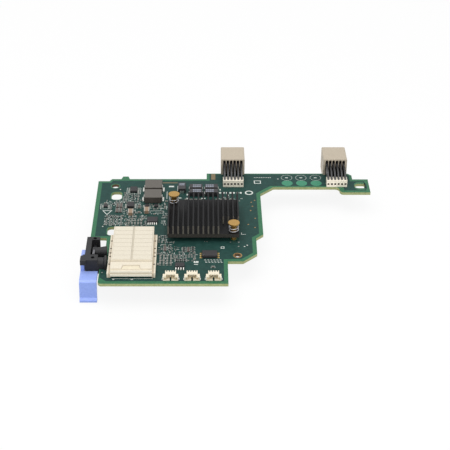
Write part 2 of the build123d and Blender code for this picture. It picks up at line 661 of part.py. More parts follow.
def polymer_capacitor():
    """Moulded capacitor with a mould line and drafted sides, lying along X."""
    lift = POLYMER_CLIP_THICK
    half_z = (POLYMER_HEIGHT + lift) / 2
    lower = Rectangle(POLYMER_LENGTH - 2 * CHIP_DRAFT, POLYMER_WIDTH - 2 * CHIP_DRAFT)
    middle = Rectangle(POLYMER_LENGTH, POLYMER_WIDTH)
    body = loft([Pos(0, 0, lift) * lower, Pos(0, 0, half_z) * middle])
    return body + loft([Pos(0, 0, half_z) * middle, Pos(0, 0, POLYMER_HEIGHT) * lower])


def polymer_terminals():
    """Tinned clips folded under both ends of a moulded capacitor."""
    clips = []
    half = POLYMER_CLIP / 2
    for side in (-1, 1):
        wall = side * POLYMER_LENGTH / 2
        out = wall + side * POLYMER_CLIP_THICK
        under = wall - side * TERMINAL_FOOT
        foot = block(min(under, out), max(under, out), -half, half, 0, POLYMER_CLIP_THICK)
        clips.append(foot + block(min(wall, out), max(wall, out), -half, half, 0, POLYMER_CLIP_HEIGHT))
    return clips


def chip_body(size_x, size_y, height):
    """Moulded chip body with drafted sides, standing off the board."""
    seam = (height + CHIP_STANDOFF) / 2
    small = Rectangle(size_x - 2 * CHIP_DRAFT, size_y - 2 * CHIP_DRAFT)
    full = Rectangle(size_x, size_y)
    body = loft([Pos(0, 0, CHIP_STANDOFF) * small, Pos(0, 0, seam) * full])
    return body + loft([Pos(0, 0, seam) * full, Pos(0, 0, height) * small])


def gull_lead(seam, width):
    """One gull-wing lead that leaves a body at the origin's Y-Z plane and goes out along +Y."""
    half_t = LEAD_THICK / 2
    bend = LEAD_REACH - LEAD_FOOT
    outline = [(0, seam + half_t), (0, seam - half_t), (bend - LEAD_THICK, 0), (LEAD_REACH, 0),
               (LEAD_REACH, LEAD_THICK), (bend, LEAD_THICK)]
    return side_plate(outline, -width / 2, width / 2)


def chip_leads(size_y, height, count, pitch, width):
    """Leads along the +Y and -Y sides of a chip at the origin."""
    lead = gull_lead((height + CHIP_STANDOFF) / 2, width)
    front = [Pos(dx, -size_y / 2, 0) * Rot(0, 0, 180) * lead for dx in centred(count, pitch)]
    return front + [Pos(dx, size_y / 2, 0) * lead for dx in centred(count, pitch)]


def placed(shapes, x, y, turn=0):
    """Copies of shapes set down at a place on the board."""
    return [Pos(x, y, 0) * Rot(0, 0, turn) * shape for shape in shapes]


def field_of_chips(fields, length, width, height):
    """Small two-ended parts in the rows and columns of each field."""
    chip = Pos(0, 0, height / 2) * Box(length, width, height)
    chips = []
    for x0, y0, step_x, step_y, columns, rows, turn in fields:
        for i in range(columns):
            for j in range(rows):
                chips += placed([chip], x0 + i * step_x, y0 + j * step_y, turn)
    return chips


def header_shell(cx):
    """Right-angle header shell: winged mouth in front, narrower crested back, key slit in the floor."""
    half = HEADER_WIDTH / 2
    top_half = HEADER_TOP_WIDTH / 2
    wing = HEADER_FRONT + HEADER_WING_DEPTH
    shell = block(cx - half, cx + half, HEADER_FRONT, wing, 0, HEADER_SHOULDER)
    shell += block(cx - top_half, cx + top_half, HEADER_FRONT, HEADER_REAR, 0, HEADER_HEIGHT)
    back = HEADER_REAR - HEADER_BACK_WALL
    shell -= block(cx - half + HEADER_WALL, cx + half - HEADER_WALL, HEADER_FRONT, wing - HEADER_WALL,
                   HEADER_WALL, HEADER_SHOULDER - HEADER_WALL)
    shell -= block(cx - top_half + HEADER_WALL, cx + top_half - HEADER_WALL, HEADER_FRONT, back,
                   HEADER_WALL, HEADER_HEIGHT - HEADER_WALL)
    shell -= block(cx - HEADER_KEY / 2, cx + HEADER_KEY / 2, HEADER_FRONT, back, 0, HEADER_WALL)
    hatch = top_half - HEADER_WALL
    shell -= block(cx - hatch, cx + hatch, HEADER_FRONT, HEADER_FRONT + HEADER_BACK_WALL,
                   HEADER_HEIGHT - HEADER_WALL, HEADER_HEIGHT)
    for dx in centred(HEADER_COUNT, HEADER_PITCH):
        crest = CONTACT_WIDTH / 2 + CONTACT_GAP
        shell -= block(cx + dx - crest, cx + dx + crest, back, HEADER_REAR, 0, HEADER_HEIGHT)
    return shell


def header_contacts(cx):
    """Bent contacts: a pin in the mouth, down the crest slot and out to a solder foot."""
    pin_z = HEADER_SHOULDER / 2
    half = CONTACT_HEIGHT / 2
    drop = HEADER_REAR - HEADER_BACK_WALL / 2
    outline = [(HEADER_FRONT + HEADER_BACK_WALL, pin_z - half), (drop, pin_z - half), (drop, 0),
               (HEADER_REAR + CONTACT_TAIL, 0), (HEADER_REAR + CONTACT_TAIL, LEAD_THICK),
               (drop + CONTACT_HEIGHT, LEAD_THICK), (drop + CONTACT_HEIGHT, pin_z + half),
               (HEADER_FRONT + HEADER_BACK_WALL, pin_z + half)]
    return [side_plate(outline, cx + dx - CONTACT_WIDTH / 2, cx + dx + CONTACT_WIDTH / 2)
            for dx in centred(HEADER_COUNT, HEADER_PITCH)]


def header_tabs(cx):
    """Tinned hold-down tabs soldered beside a header."""
    tabs = []
    y0 = HEADER_FRONT + HEADER_WALL
    y1 = y0 + SOLDER_TAB_DEPTH
    for side in (-1, 1):
        wall = cx + side * HEADER_WIDTH / 2
        skin = wall + side * LEAD_THICK
        out = wall + side * SOLDER_TAB_WIDTH
        tab = block(min(wall, skin), max(wall, skin), y0, y1, 0, SOLDER_TAB_HEIGHT)
        tabs.append(tab + block(min(wall, out), max(wall, out), y0, y1, 0, LEAD_THICK))
    return tabs


def arched_bar(x0, x1, y, half, z0, crown):
    """Bar along X with upright sides from z0 and a half-round top centred at the crown."""
    top = crown + half
    outline = Polyline((0, y + half, crown), (0, y + half, z0), (0, y - half, z0), (0, y - half, crown))
    arch = ThreePointArc((0, y - half, crown), (0, y, top), (0, y + half, crown))
    return Pos(x0, 0, 0) * extrude(make_face([outline, arch]), amount=x1 - x0, dir=(1, 0, 0))


def lever_bracket():
    """Black moulded bracket: pivot block, side bar, rear post, and two bosses that clip the bay's edge."""
    bar_right = BRACKET_LEFT + BRACKET_BAR_WIDTH
    front = PIVOT_Y - BLOCK_HALF
    rear = PIVOT_Y + BLOCK_HALF
    floor = -BRACKET_FLOOR - BOARD_THICK
    base = -BOARD_THICK
    post_front = BRACKET_REAR_Y - POST_DEPTH
    bracket = block(BRACKET_LEFT, LEVER_RIGHT, front, rear, PLATE_TOP, BRACKET_TOP)
    bracket += block(BRACKET_LEFT, bar_right, rear, BRACKET_REAR_Y, base, BRACKET_TOP)
    bracket += block(bar_right, LEVER_RIGHT, post_front, BRACKET_REAR_Y, base, BRACKET_TOP)
    bracket += block(BRACKET_LEFT, LEVER_RIGHT, PIVOT_Y, BRACKET_REAR_Y, floor, base)
    bracket += block(BRACKET_LEFT, LEVER_RIGHT, PIVOT_Y, rear, base, PLATE_TOP)
    rib_left = BRACKET_HOLE_X - RIB_WIDTH / 2
    bracket += block(rib_left, rib_left + RIB_WIDTH, rear, post_front, base, RIB_TOP)
    cap = [(BRACKET_LEFT, front - CAP_LIP_THICK), (BRACKET_LEFT, rear), (LEVER_LEFT + CAP_CUT, rear),
           (LEVER_LEFT, rear - CAP_CUT), (LEVER_LEFT, front - CAP_LIP_THICK)]
    bracket += flat_plate(cap, BRACKET_TOP - CAP_ROOF, BRACKET_TOP)
    lip_right = BRACKET_LEFT + CAP_LIP_THICK
    bracket += block(LEVER_LEFT, lip_right, front - CAP_LIP_THICK, front,
                     BRACKET_TOP - CAP_LIP, BRACKET_TOP)
    boss_end = BAY_WALL_FRONT + BOSS_REACH
    for y, start, wall in ((PIVOT_Y, LEVER_RIGHT, BAY_WALL_FRONT), (REAR_BOSS_Y, rib_left, BAY_WALL_REAR)):
        boss = arched_bar(start, boss_end, y, BOSS_R, 0, BOSS_R)
        boss += block(start, wall - LEVER_GAP, y - BOSS_R, y + BOSS_R, base - CLIP_THICK, 0)
        boss += block(start, boss_end, y - BOSS_R, y + BOSS_R, base - CLIP_THICK, base)
        bracket += boss
    for y in (PIVOT_Y, BRACKET_REAR_Y - POST_DEPTH / 2):
        bracket -= upright(POST_HOLE_R, BRACKET_HOLE_X, y, BRACKET_TOP - POST_HOLE_DEPTH / 2, BRACKET_TOP)
    seat_end = BRACKET_LEFT + PIVOT_SEAT
    return bracket - crosswise(PIVOT_R + PIVOT_GAP / 2, BRACKET_LEFT, seat_end, PIVOT_Y, PIVOT_Z)


def pivot_pin():
    """Steel pin pressed into the bracket's block, carrying the lever's arm."""
    return crosswise(PIVOT_R, LEVER_LEFT, BRACKET_LEFT + PIVOT_SEAT - PIVOT_GAP, PIVOT_Y, PIVOT_Z)


def release_lever():
    """Blue moulded lever: an arm on the pivot pin, a thumb plate and a pull tab that hangs down."""
    left = LEVER_LEFT
    arm_right = left + ARM_THICK
    bottom = PLATE_TOP - PLATE_THICK
    plate_rear = PIVOT_Y - BLOCK_HALF - LEVER_GAP
    plate_front = plate_rear - PLATE_LENGTH
    arm_front = PIVOT_Y - ARM_END_R
    arm = crosswise(ARM_END_R, left, arm_right, PIVOT_Y, PIVOT_Z)
    leg = [(plate_rear - PLATE_THICK, bottom), (PIVOT_Y, bottom), (PIVOT_Y + ARM_END_R, PIVOT_Z),
           (arm_front, PIVOT_Z), (arm_front, PLATE_TOP), (plate_rear - PLATE_THICK, PLATE_TOP)]
    arm += side_plate(leg, left, arm_right)
    tail = [(PIVOT_Y, PIVOT_Z - ARM_END_R), (ARM_REAR_Y, PIVOT_Z - ARM_TAIL_HEIGHT + ARM_END_R / 2),
            (ARM_REAR_Y, PIVOT_Z + ARM_END_R / 2), (PIVOT_Y, PIVOT_Z + ARM_END_R)]
    arm += side_plate(tail, left, arm_right)
    lean = TAB_DROP * tan(radians(TAB_LEAN))
    tab_foot = PLATE_TOP - TAB_DROP
    sweep_outline = [(plate_rear, PLATE_TOP), (plate_rear, bottom), (plate_front + PLATE_THICK, bottom),
                     (plate_front + PLATE_THICK - lean, tab_foot),
                     (plate_front - lean - TAB_LIP, tab_foot),
                     (plate_front - lean - TAB_LIP, tab_foot + TAB_LIP_THICK / 2),
                     (plate_front - lean * (1 - TAB_LIP_THICK / TAB_DROP), tab_foot + TAB_LIP_THICK),
                     (plate_front, PLATE_TOP)]
    tab = side_plate(sweep_outline, left, LEVER_RIGHT)
    bend = tab.edges().filter_by(Axis.X).sort_by_distance((left, plate_front, PLATE_TOP))[0]
    lever = fillet(bend, PLATE_BEND_R) + arm
    return lever - crosswise(PIVOT_R + PIVOT_GAP, left, arm_right, PIVOT_Y, PIVOT_Z)


def save_chip(name, size, place, lead_rows, turn=0):
    """A leaded chip as two nodes: its body and its leads."""
    size_x, size_y, height = size
    count, pitch, width = lead_rows
    save(f"{name}_chip", placed([chip_body(size_x, size_y, height)], *place, turn))
    save(f"{name}_leads", placed(chip_leads(size_y, height, count, pitch, width), *place, turn))


save("circuit_board", circuit_board())
for side, x in MIDPLANE_XS.items():
    save(f"{side}_midplane_hood", midplane_hood(x))
    save(f"{side}_midplane_wafers", midplane_wafers(x))
    save(f"{side}_midplane_organizer", midplane_organizer(x))
    save(f"{side}_midplane_tails", midplane_tails(x))
save("mezzanine_housing", mezzanine_housing())
save("mezzanine_contact_plates", mezzanine_plates())
save("controller_chip", controller_chip())
save("thermal_pad", thermal_pad())
save("heat_sink", heat_sink())
for corner, (x, y) in PIN_PLACES.items():
    save(f"{corner}_push_pin", push_pin(x, y))
    save(f"{corner}_pin_spring", pin_spring(x, y))
for row, y in INDUCTOR_YS.items():
    save(f"{row}_power_inductor", inductor_core(y))
save("inductor_terminals", inductor_terminals())
save("polymer_capacitors",
     [c for x, y, t in POLYMER_PLACES for c in placed([polymer_capacitor()], x, y, t)])
save("polymer_terminals", [c for x, y, t in POLYMER_PLACES for c in placed(polymer_terminals(), x, y, t)])
ceramic = Pos(0, 0, CERAMIC_HEIGHT / 2) * Box(CERAMIC_WIDTH, CERAMIC_LENGTH, CERAMIC_HEIGHT)
save("ceramic_capacitors", [c for place in CERAMIC_PLACES for c in placed([ceramic], *place)])
soic = (SOIC_LEAD_COUNT, SOIC_PITCH, LEAD_WIDTH)
for row, place in POWER_CHIP_PLACES.items():
    save_chip(f"{row}_power_switch", (POWER_CHIP_Y, POWER_CHIP_X, POWER_CHIP_HEIGHT), place, soic, 90)
save_chip("regulator", (REGULATOR_X, REGULATOR_Y, REGULATOR_HEIGHT), REGULATOR_AT,
          (REGULATOR_LEAD_COUNT, REGULATOR_PITCH, LEAD_WIDTH))
save_chip("memory", (MEMORY_Y, MEMORY_X, MEMORY_HEIGHT), MEMORY_AT,
          (MEMORY_LEAD_COUNT, MEMORY_PITCH, 2 * LEAD_WIDTH), 90)
save_chip("settings_memory", (EEPROM_X, EEPROM_Y, EEPROM_HEIGHT), EEPROM_AT, soic)
logic_body = chip_body(LOGIC_Y, LOGIC_X, LOGIC_HEIGHT)
logic_leads = chip_leads(LOGIC_X, LOGIC_HEIGHT, LOGIC_LEAD_COUNT, LOGIC_PITCH, LEAD_WIDTH)
save("logic_chips", [c for place in LOGIC_PLACES for c in placed([logic_body], *place, 90)])
save("logic_leads", [c for place in LOGIC_PLACES for c in placed(logic_leads, *place, 90)])
save("chip_resistors", field_of_chips(RESISTOR_FIELDS, CHIP_R_LENGTH, CHIP_R_WIDTH, CHIP_R_HEIGHT))
save("chip_capacitors", field_of_chips(CAPACITOR_FIELDS, CHIP_C_LENGTH, CHIP_C_WIDTH, CHIP_C_HEIGHT))
array = Pos(0, 0, ARRAY_HEIGHT / 2) * Box(ARRAY_WIDTH, ARRAY_LENGTH, ARRAY_HEIGHT)
save("resistor_arrays", [c for place in ARRAY_PLACES for c in placed([array], *place)])
for name, x in HEADER_XS.items():
    save(f"{name}_wire_header", header_shell(x))
save("header_contacts", [c for x in HEADER_XS.values() for c in header_contacts(x)])
save("header_solder_tabs", [c for x in HEADER_XS.values() for c in header_tabs(x)])
save("lever_bracket", lever_bracket())
save("lever_pivot_pin", pivot_pin())
save("release_lever", release_lever())
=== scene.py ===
from math import cos, pi, radians, sin
from random import Random

import bmesh
import bpy
from mathutils import Matrix, Vector
from mathutils.geometry import tessellate_polygon


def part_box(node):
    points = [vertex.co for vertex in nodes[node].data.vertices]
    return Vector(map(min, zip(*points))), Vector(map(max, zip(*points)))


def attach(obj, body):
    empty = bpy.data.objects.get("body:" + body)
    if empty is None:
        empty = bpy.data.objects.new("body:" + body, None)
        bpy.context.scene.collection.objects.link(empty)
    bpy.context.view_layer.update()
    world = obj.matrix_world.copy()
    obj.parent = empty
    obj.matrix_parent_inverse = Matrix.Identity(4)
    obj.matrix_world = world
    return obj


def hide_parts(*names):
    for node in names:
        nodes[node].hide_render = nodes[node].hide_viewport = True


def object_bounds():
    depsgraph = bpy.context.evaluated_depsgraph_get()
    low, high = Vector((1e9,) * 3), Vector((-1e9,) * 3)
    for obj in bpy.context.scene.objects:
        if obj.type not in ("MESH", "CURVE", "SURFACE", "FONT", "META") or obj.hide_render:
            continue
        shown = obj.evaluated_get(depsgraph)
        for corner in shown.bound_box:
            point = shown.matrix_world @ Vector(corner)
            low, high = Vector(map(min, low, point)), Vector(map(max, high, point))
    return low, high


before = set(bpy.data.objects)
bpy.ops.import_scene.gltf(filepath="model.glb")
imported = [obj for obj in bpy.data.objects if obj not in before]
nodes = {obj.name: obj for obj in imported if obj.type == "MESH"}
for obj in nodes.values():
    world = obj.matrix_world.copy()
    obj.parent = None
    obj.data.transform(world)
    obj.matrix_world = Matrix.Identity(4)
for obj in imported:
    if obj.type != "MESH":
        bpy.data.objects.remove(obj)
cad_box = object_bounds()
MM = 0.001


# Circuit board: a glass-fibre laminate with green solder mask, routed to its stepped outline.
# The cut edges and hole walls show the bare tan laminate.
# The mask is brighter where no copper lies under it.
GRAIN_DETAIL = 5.0
TINT_BAND = (0.35, 0.65)
ROUGH_BAND = (0.3, 0.7)
ROUGH_SPREAD, LEAST_ROUGH = 0.06, 0.02
RELIEF_DEPTH = 0.02
UPRIGHT_BELOW = 0.5
SOFT_ANGLE = radians(40)


def srgb(red, green, blue):
    """Screen colour, 0 to 255 for each channel, as linear light."""
    return tuple(((c / 255 + 0.055) / 1.055) ** 2.4 if c > 10 else c / 255 / 12.92
                 for c in (red, green, blue)) + (1.0,)


def finish(name, low, high, grain, rough, bump=0.0, metal=0.0, shine=0.5):
    """Material whose colour, roughness and surface all wander with a fine grain, in object space."""
    material = bpy.data.materials.new(name)
    material.use_nodes = True
    tree = material.node_tree
    surface = tree.nodes["Principled BSDF"]
    place = tree.nodes.new("ShaderNodeTexCoord")
    noise = tree.nodes.new("ShaderNodeTexNoise")
    noise.inputs["Scale"].default_value = grain
    noise.inputs["Detail"].default_value = GRAIN_DETAIL
    tree.links.new(place.outputs["Object"], noise.inputs["Vector"])
    tint = tree.nodes.new("ShaderNodeMix")
    tint.data_type = "RGBA"
    for socket, colour in ((tint.inputs[6], low), (tint.inputs[7], high)):
        socket.default_value = colour
    spread_map = tree.nodes.new("ShaderNodeMapRange")
    spread_map.inputs["From Min"].default_value = TINT_BAND[0]
    spread_map.inputs["From Max"].default_value = TINT_BAND[1]
    tree.links.new(noise.outputs["Fac"], spread_map.inputs["Value"])
    tree.links.new(spread_map.outputs["Result"], tint.inputs["Factor"])
    tree.links.new(tint.outputs[2], surface.inputs["Base Color"])
    rough_map = tree.nodes.new("ShaderNodeMapRange")
    rough_map.inputs["From Min"].default_value = ROUGH_BAND[0]
    rough_map.inputs["From Max"].default_value = ROUGH_BAND[1]
    rough_map.inputs["To Min"].default_value = max(rough - ROUGH_SPREAD, LEAST_ROUGH)
    rough_map.inputs["To Max"].default_value = min(rough + ROUGH_SPREAD, 1.0)
    tree.links.new(noise.outputs["Fac"], rough_map.inputs["Value"])
    tree.links.new(rough_map.outputs["Result"], surface.inputs["Roughness"])
    surface.inputs["Metallic"].default_value = metal
    surface.inputs["Specular IOR Level"].default_value = shine
    if bump:
        relief = tree.nodes.new("ShaderNodeBump")
        relief.inputs["Strength"].default_value = bump
        relief.inputs["Distance"].default_value = RELIEF_DEPTH * MM
        tree.links.new(noise.outputs["Fac"], relief.inputs["Height"])
        tree.links.new(relief.outputs["Normal"], surface.inputs["Normal"])
    return material


def upright_tint(material, low, high):
    """Gives a material other colours on its upright faces: bare laminate on cut edges, darker inductor sides,
    painted shade on the lever.
    """
    tree = material.node_tree
    surface = tree.nodes["Principled BSDF"]
    tint = surface.inputs["Base Color"].links[0].from_node
    cut = tree.nodes.new("ShaderNodeMix")
    cut.data_type = "RGBA"
    for socket, colour in ((cut.inputs[6], low), (cut.inputs[7], high)):
        socket.default_value = colour
    tree.links.new(tint.inputs["Factor"].links[0].from_socket, cut.inputs["Factor"])
    normal = tree.nodes.new("ShaderNodeNewGeometry")
    split = tree.nodes.new("ShaderNodeSeparateXYZ")
    tree.links.new(normal.outputs["True Normal"], split.inputs["Vector"])
    size = tree.nodes.new("ShaderNodeMath")
    size.operation = "ABSOLUTE"
    tree.links.new(split.outputs["Z"], size.inputs[0])
    upright = tree.nodes.new("ShaderNodeMath")
    upright.operation = "LESS_THAN"
    upright.inputs[1].default_value = UPRIGHT_BELOW
    tree.links.new(size.outputs["Value"], upright.inputs[0])
    mix = tree.nodes.new("ShaderNodeMix")
    mix.data_type = "RGBA"
    tree.links.new(tint.outputs[2], mix.inputs[6])
    tree.links.new(cut.outputs[2], mix.inputs[7])
    tree.links.new(upright.outputs["Value"], mix.inputs["Factor"])
    tree.links.new(mix.outputs[2], surface.inputs["Base Color"])


def dress(name, material, bevel=0.0, segments=2):
    """A CAD node keeps its shape, takes a material and, where asked, softened edges."""
    part = nodes[name]
    part.data.materials.clear()
    part.data.materials.append(material)
    if bevel:
        soften = part.modifiers.new("soft_edges", "BEVEL")
        soften.width = bevel * MM
        soften.segments = segments
        soften.limit_method = "ANGLE"
        soften.angle_limit = SOFT_ANGLE
        soften.harden_normals = True


BOARD_THICK = 1.6
laminate = finish("board_mask", srgb(52, 106, 76), srgb(62, 118, 86), 900, 0.42, bump=0.12, shine=0.15)
upright_tint(laminate, srgb(148, 154, 106), srgb(164, 170, 124))
dress("circuit_board", laminate)


# Copper planes under the mask: the sheet of copper inside the board makes the mask look dark teal.
# It stops about two millimetres short of every edge and hole, so a brighter border shows; beside the lever
# bracket at the front left it reaches nearly to the edge instead, and its dark teal there is also painted
# shade for the shadow of the bracket's boss and the lever.
def new_piece(name, mesh_maker, materials, body="card", stands_for=(), bevel=0.0,
              smooth=False):
    """Turns a bmesh into a piece that rides on a body of the frame."""
    mesh = bpy.data.meshes.new(name)
    bmesh.ops.recalc_face_normals(mesh_maker, faces=mesh_maker.faces)
    mesh_maker.to_mesh(mesh)
    mesh_maker.free()
    piece = bpy.data.objects.new(name, mesh)
    bpy.context.scene.collection.objects.link(piece)
    for material in materials:
        mesh.materials.append(material)
    if smooth:
        mesh.shade_smooth()
    if bevel:
        soften = piece.modifiers.new("soft_edges", "BEVEL")
        soften.width = bevel * MM
        soften.segments = 2
        soften.limit_method = "ANGLE"
        soften.angle_limit = SOFT_ANGLE
    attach(piece, body)
    if stands_for:
        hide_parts(*stands_for)


def add_box(bm, low, high, index=0):
    """Box between two corners, in millimetres."""
    middle = (Vector(low) + Vector(high)) / 2 * MM
    size = (Vector(high) - Vector(low)) * MM
    place = Matrix.Translation(middle) @ Matrix.Diagonal((*size, 1.0))
    made = bmesh.ops.create_cube(bm, size=1.0, matrix=place)
    for face in {f for v in made["verts"] for f in v.link_faces}:
        face.material_index = index


def ring_of(radius, x, y, count=32):
    """Round outline in the board's plane."""
    angles = [2 * pi * i / count for i in range(count)]
    return [(x + radius * cos(angle), y + radius * sin(angle)) for angle in angles]


def rounded(width, depth, corner, x, y, count=6):
    """Rectangle with rounded corners in the board's plane."""
    points = []
    for turn, (sx, sy) in enumerate(((1, 1), (-1, 1), (-1, -1), (1, -1))):
        for i in range(count + 1):
            angle = pi / 2 * (turn + i / count)
            points.append((x + sx * (width / 2 - corner) + corner * cos(angle),
                           y + sy * (depth / 2 - corner) + corner * sin(angle)))
    return points


def add_sheet(bm, outlines, z0, z1, index=0):
    """Thin sheet with holes: the first outline is its edge and the rest are its holes."""
    rings = [[Vector((x, y, 0)) for x, y in outline] for outline in outlines]
    flat = [p for ring in rings for p in ring]
    low = [bm.verts.new((p.x * MM, p.y * MM, z0 * MM)) for p in flat]
    high = [bm.verts.new((p.x * MM, p.y * MM, z1 * MM)) for p in flat]
    made = []
    for a, b, c in tessellate_polygon(rings):
        up = (flat[b] - flat[a]).cross(flat[c] - flat[a]).z > 0
        a, b, c = (a, b, c) if up else (a, c, b)
        made.append(bm.faces.new((high[a], high[b], high[c])))
        made.append(bm.faces.new((low[a], low[c], low[b])))
    start = 0
    for ring in rings:
        count = len(ring)
        for i in range(count):
            j = (i + 1) % count
            made.append(bm.faces.new((low[start + i], low[start + j], high[start + j], high[start + i])))
        start += count
    for face in made:
        face.material_index = index


MASK_LIFT = 0.015
COPPER_EDGE = [
    (-65.8, -23.5), (-7.2, -23.5), (-7.2, -3.4), (1.9, -3.4), (7.9, 2.6), (7.9, 17.4), (11.8, 21.3),
    (11.8, 63.7), (19.9, 71.8), (58.7, 71.8), (60.9, 69.8), (60.9, 66.8), (73.1, 66.8), (73.1, 77.2),
    (65.0, 77.2), (65.0, 83.7), (63.5, 85.3), (-14.0, 85.3), (-14.0, 77.9), (-68.3, 77.9), (-69.3, 75.5),
    # The last two points carry the plane nearly to the edge beside the lever bracket: painted shade for its
    # shadow.
    (-74.3, 75.5), (-74.3, 18.6), (-65.7, 18.6), (-66.6, -2.6), (-69.2, -2.6), (-69.2, -20.2),
]
COPPER_HOLES = [
    ring_of(2.45, 0, 0), ring_of(2.75, -66.6, 71.6), rounded(6.7, 9.3, 2.6, -65.3, 60.8),
    rounded(7.0, 8.8, 2.7, 70.5, 71.8), ring_of(2.0, -33.3, 45.9), ring_of(2.0, -1.7, 16.3),
    rounded(6.7, 9.1, 2.6, -65.3, 23.7),
]
copper_mask = finish("mask_over_copper", srgb(33, 64, 59), srgb(41, 74, 69), 420, 0.44, bump=0.1, shine=0.09)
upright_tint(copper_mask, srgb(33, 63, 57), srgb(40, 72, 66))
planes = bmesh.new()
for foot in (0, -BOARD_THICK - MASK_LIFT):
    add_sheet(planes, [COPPER_EDGE] + COPPER_HOLES, foot, foot + MASK_LIFT)
new_piece("copper_planes", planes, [copper_mask])


# Bare metal on the board: the plated ring of the datum hole, copper via caps and tinned test points.
# They are left open in the mask, a few hundredths of a millimetre proud.
# Thin plated barrels line the datum hole and the guide hole.
def add_disc(bm, x, y, radius, z0, z1, index=0, hole=0.0, count=24):
    """Round pad, with a hole in it where asked."""
    inner = [ring_of(hole, x, y, count)] if hole else []
    add_sheet(bm, [ring_of(radius, x, y, count)] + inner, z0, z1, index)


RING_RADIUS, RING_HOLE, RING_RISE = 2.35, 1.66, 0.05
VIA_RADIUS, POINT_RADIUS, CAP_RISE = 0.45, 0.42, 0.04
VIA_CAPS = ((8.7, 53.7), (10.6, 55.8), (9.2, 49.5), (8.1, 44.9), (10.3, 36.8), (6.4, 30.4), (9.9, 27.3))
TEST_POINTS = (
    (-63.7, 67.9), (-68.2, -15.8), (5.2, 9.8), (-70.9, 28.4), (24.6, 79.8), (-16.8, 13.5), (-15.6, 13.5),
    (-3.4, 12.7), (0.8, 12.7), (0.7, 8.5), (3.8, 8.5), (-12.6, -11.1),
)
BARRELS = ((0, 0, 1.65), (-66.6, 71.6, 2.15))
BARREL_WALL = 0.06
ring_copper = finish("ring_copper", srgb(150, 118, 78), srgb(182, 148, 104), 2500, 0.36, bump=0.2, metal=1.0)
tin = finish("solder_tin", srgb(196, 196, 190), srgb(226, 226, 220), 3000, 0.32, bump=0.3, metal=0.85)
pads = bmesh.new()
for foot in (0, -BOARD_THICK - RING_RISE):
    add_disc(pads, 0, 0, RING_RADIUS, foot, foot + RING_RISE, 0, hole=RING_HOLE, count=36)
for x, y in VIA_CAPS:
    add_disc(pads, x, y, VIA_RADIUS, 0, CAP_RISE, 0, count=12)
for x, y in TEST_POINTS:
    add_disc(pads, x, y, POINT_RADIUS, 0, CAP_RISE, 1, count=12)
for x, y, radius in BARRELS:
    add_disc(pads, x, y, radius, -BOARD_THICK, 0, 2, hole=radius - BARREL_WALL, count=36)
barrel_brown = finish("barrel_brown", srgb(84, 66, 46), srgb(108, 86, 60), 2500, 0.45, bump=0.2, metal=0.5)
new_piece("bare_pads", pads, [ring_copper, tin, barrel_brown])


# Printed marks: white ink on the mask, kept to plain fields, frames, rings and ticks.
# Three round green dots lie on the arm, each with a printed ring behind it.
# Two strips of dull copper are left bare along the rear edge.
INK_RISE = 0.03


def add_patch(bm, x, y, width, depth, index=0):
    """Flat printed rectangle."""
    add_box(bm, (x - width / 2, y - depth / 2, 0), (x + width / 2, y + depth / 2, INK_RISE), index)


def add_frame(bm, x, y, width, depth, line):
    """Printed outline of a rectangle."""
    for sign in (-1, 1):
        add_patch(bm, x, y + sign * depth / 2, width + line, line)
        add_patch(bm, x + sign * width / 2, y, line, depth - line)


ink = finish("white_ink", srgb(206, 212, 206), srgb(226, 230, 224), 1800, 0.6, bump=0.2)
dot_green = finish("dot_green", srgb(33, 122, 89), srgb(44, 136, 102), 1200, 0.45, bump=0.1)
strip_copper = finish("strip_copper", srgb(112, 98, 70), srgb(134, 116, 84), 1500, 0.45, bump=0.2, metal=0.4)
PATCHES = (
    (-21.2, -6.1, 2.4, 1.5), (-21.2, -8.3, 2.1, 0.5), (-35.3, 71.2, 2.8, 1.5), (-38.4, 37.2, 3.0, 0.35),
    (-38.8, 33.8, 2.6, 0.35), (-38.8, 31.9, 2.8, 0.35), (-44.1, 44.5, 4.2, 0.3), (-41.2, 42.2, 4.6, 0.3),
    (-37.6, 61.5, 0.3, 8.0), (-31.8, 69.0, 0.3, 5.6), (-52.8, -21.3, 20.4, 0.25), (-62.2, -22.0, 0.9, 0.5),
    (-53.0, -22.0, 1.2, 0.5), (3.6, 20.4, 2.4, 0.3), (2.5, 21.4, 0.3, 1.7), (-30.0, 66.3, 1.6, 1.3),
    (-30.3, 58.4, 1.3, 0.9), (-26.4, 62.1, 0.7, 1.6), (-26.4, 58.0, 0.8, 0.9), (-18.0, 61.8, 0.7, 1.6),
    (-18.1, 58.0, 0.9, 0.9), (-16.6, 63.1, 0.6, 1.4), (-16.7, 58.0, 0.8, 0.9), (-8.2, 67.6, 0.7, 1.5),
    (-3.6, 61.4, 0.5, 1.3), (-39.6, 47.2, 3.4, 0.3), (-37.4, 48.6, 0.3, 2.4),
)
FRAMES = ((-70.6, 49.2, 5.6, 5.2, 0.2), (-56.1, 66.3, 7.6, 6.4, 0.2), (-7.6, 7.5, 1.5, 1.6, 0.35),
          (12.9, 76.2, 3.4, 3.0, 0.5))
TICK_ROWS = ((-16.6, -4.1, 1.55, 6, 0.9, 0.35), (-16.3, -5.3, 1.55, 6, 0.9, 0.35),
             (-16.0, -6.5, 1.55, 6, 0.9, 0.35), (11.4, 81.4, 1.0, 10, 0.6, 0.5),
             (-8.2, 64.1, 1.9, 7, 1.1, 1.6))
TRIANGLE = [(-72.2, 45.0), (-69.5, 40.3), (-66.8, 45.0)]
TRIANGLE_INNER = [(-71.5, 44.6), (-69.5, 41.1), (-67.5, 44.6)]
DOT_PLACES = ((29.6, 75.0), (37.7, 75.0), (45.9, 75.0))
DOT_RADIUS, DOT_RING_INNER, DOT_RING_BEHIND, DOT_BAR = 3.1, 2.95, 6.2, (1.6, 0.7)
BROAD_RING, BROAD_RING_INNER = (7.8, 64.2, 2.3), 1.55
STRIPS = ((-11.9, 82.3, 2.4, 6.6), (-36.2, 75.4, 8.4, 0.9))
marks = bmesh.new()
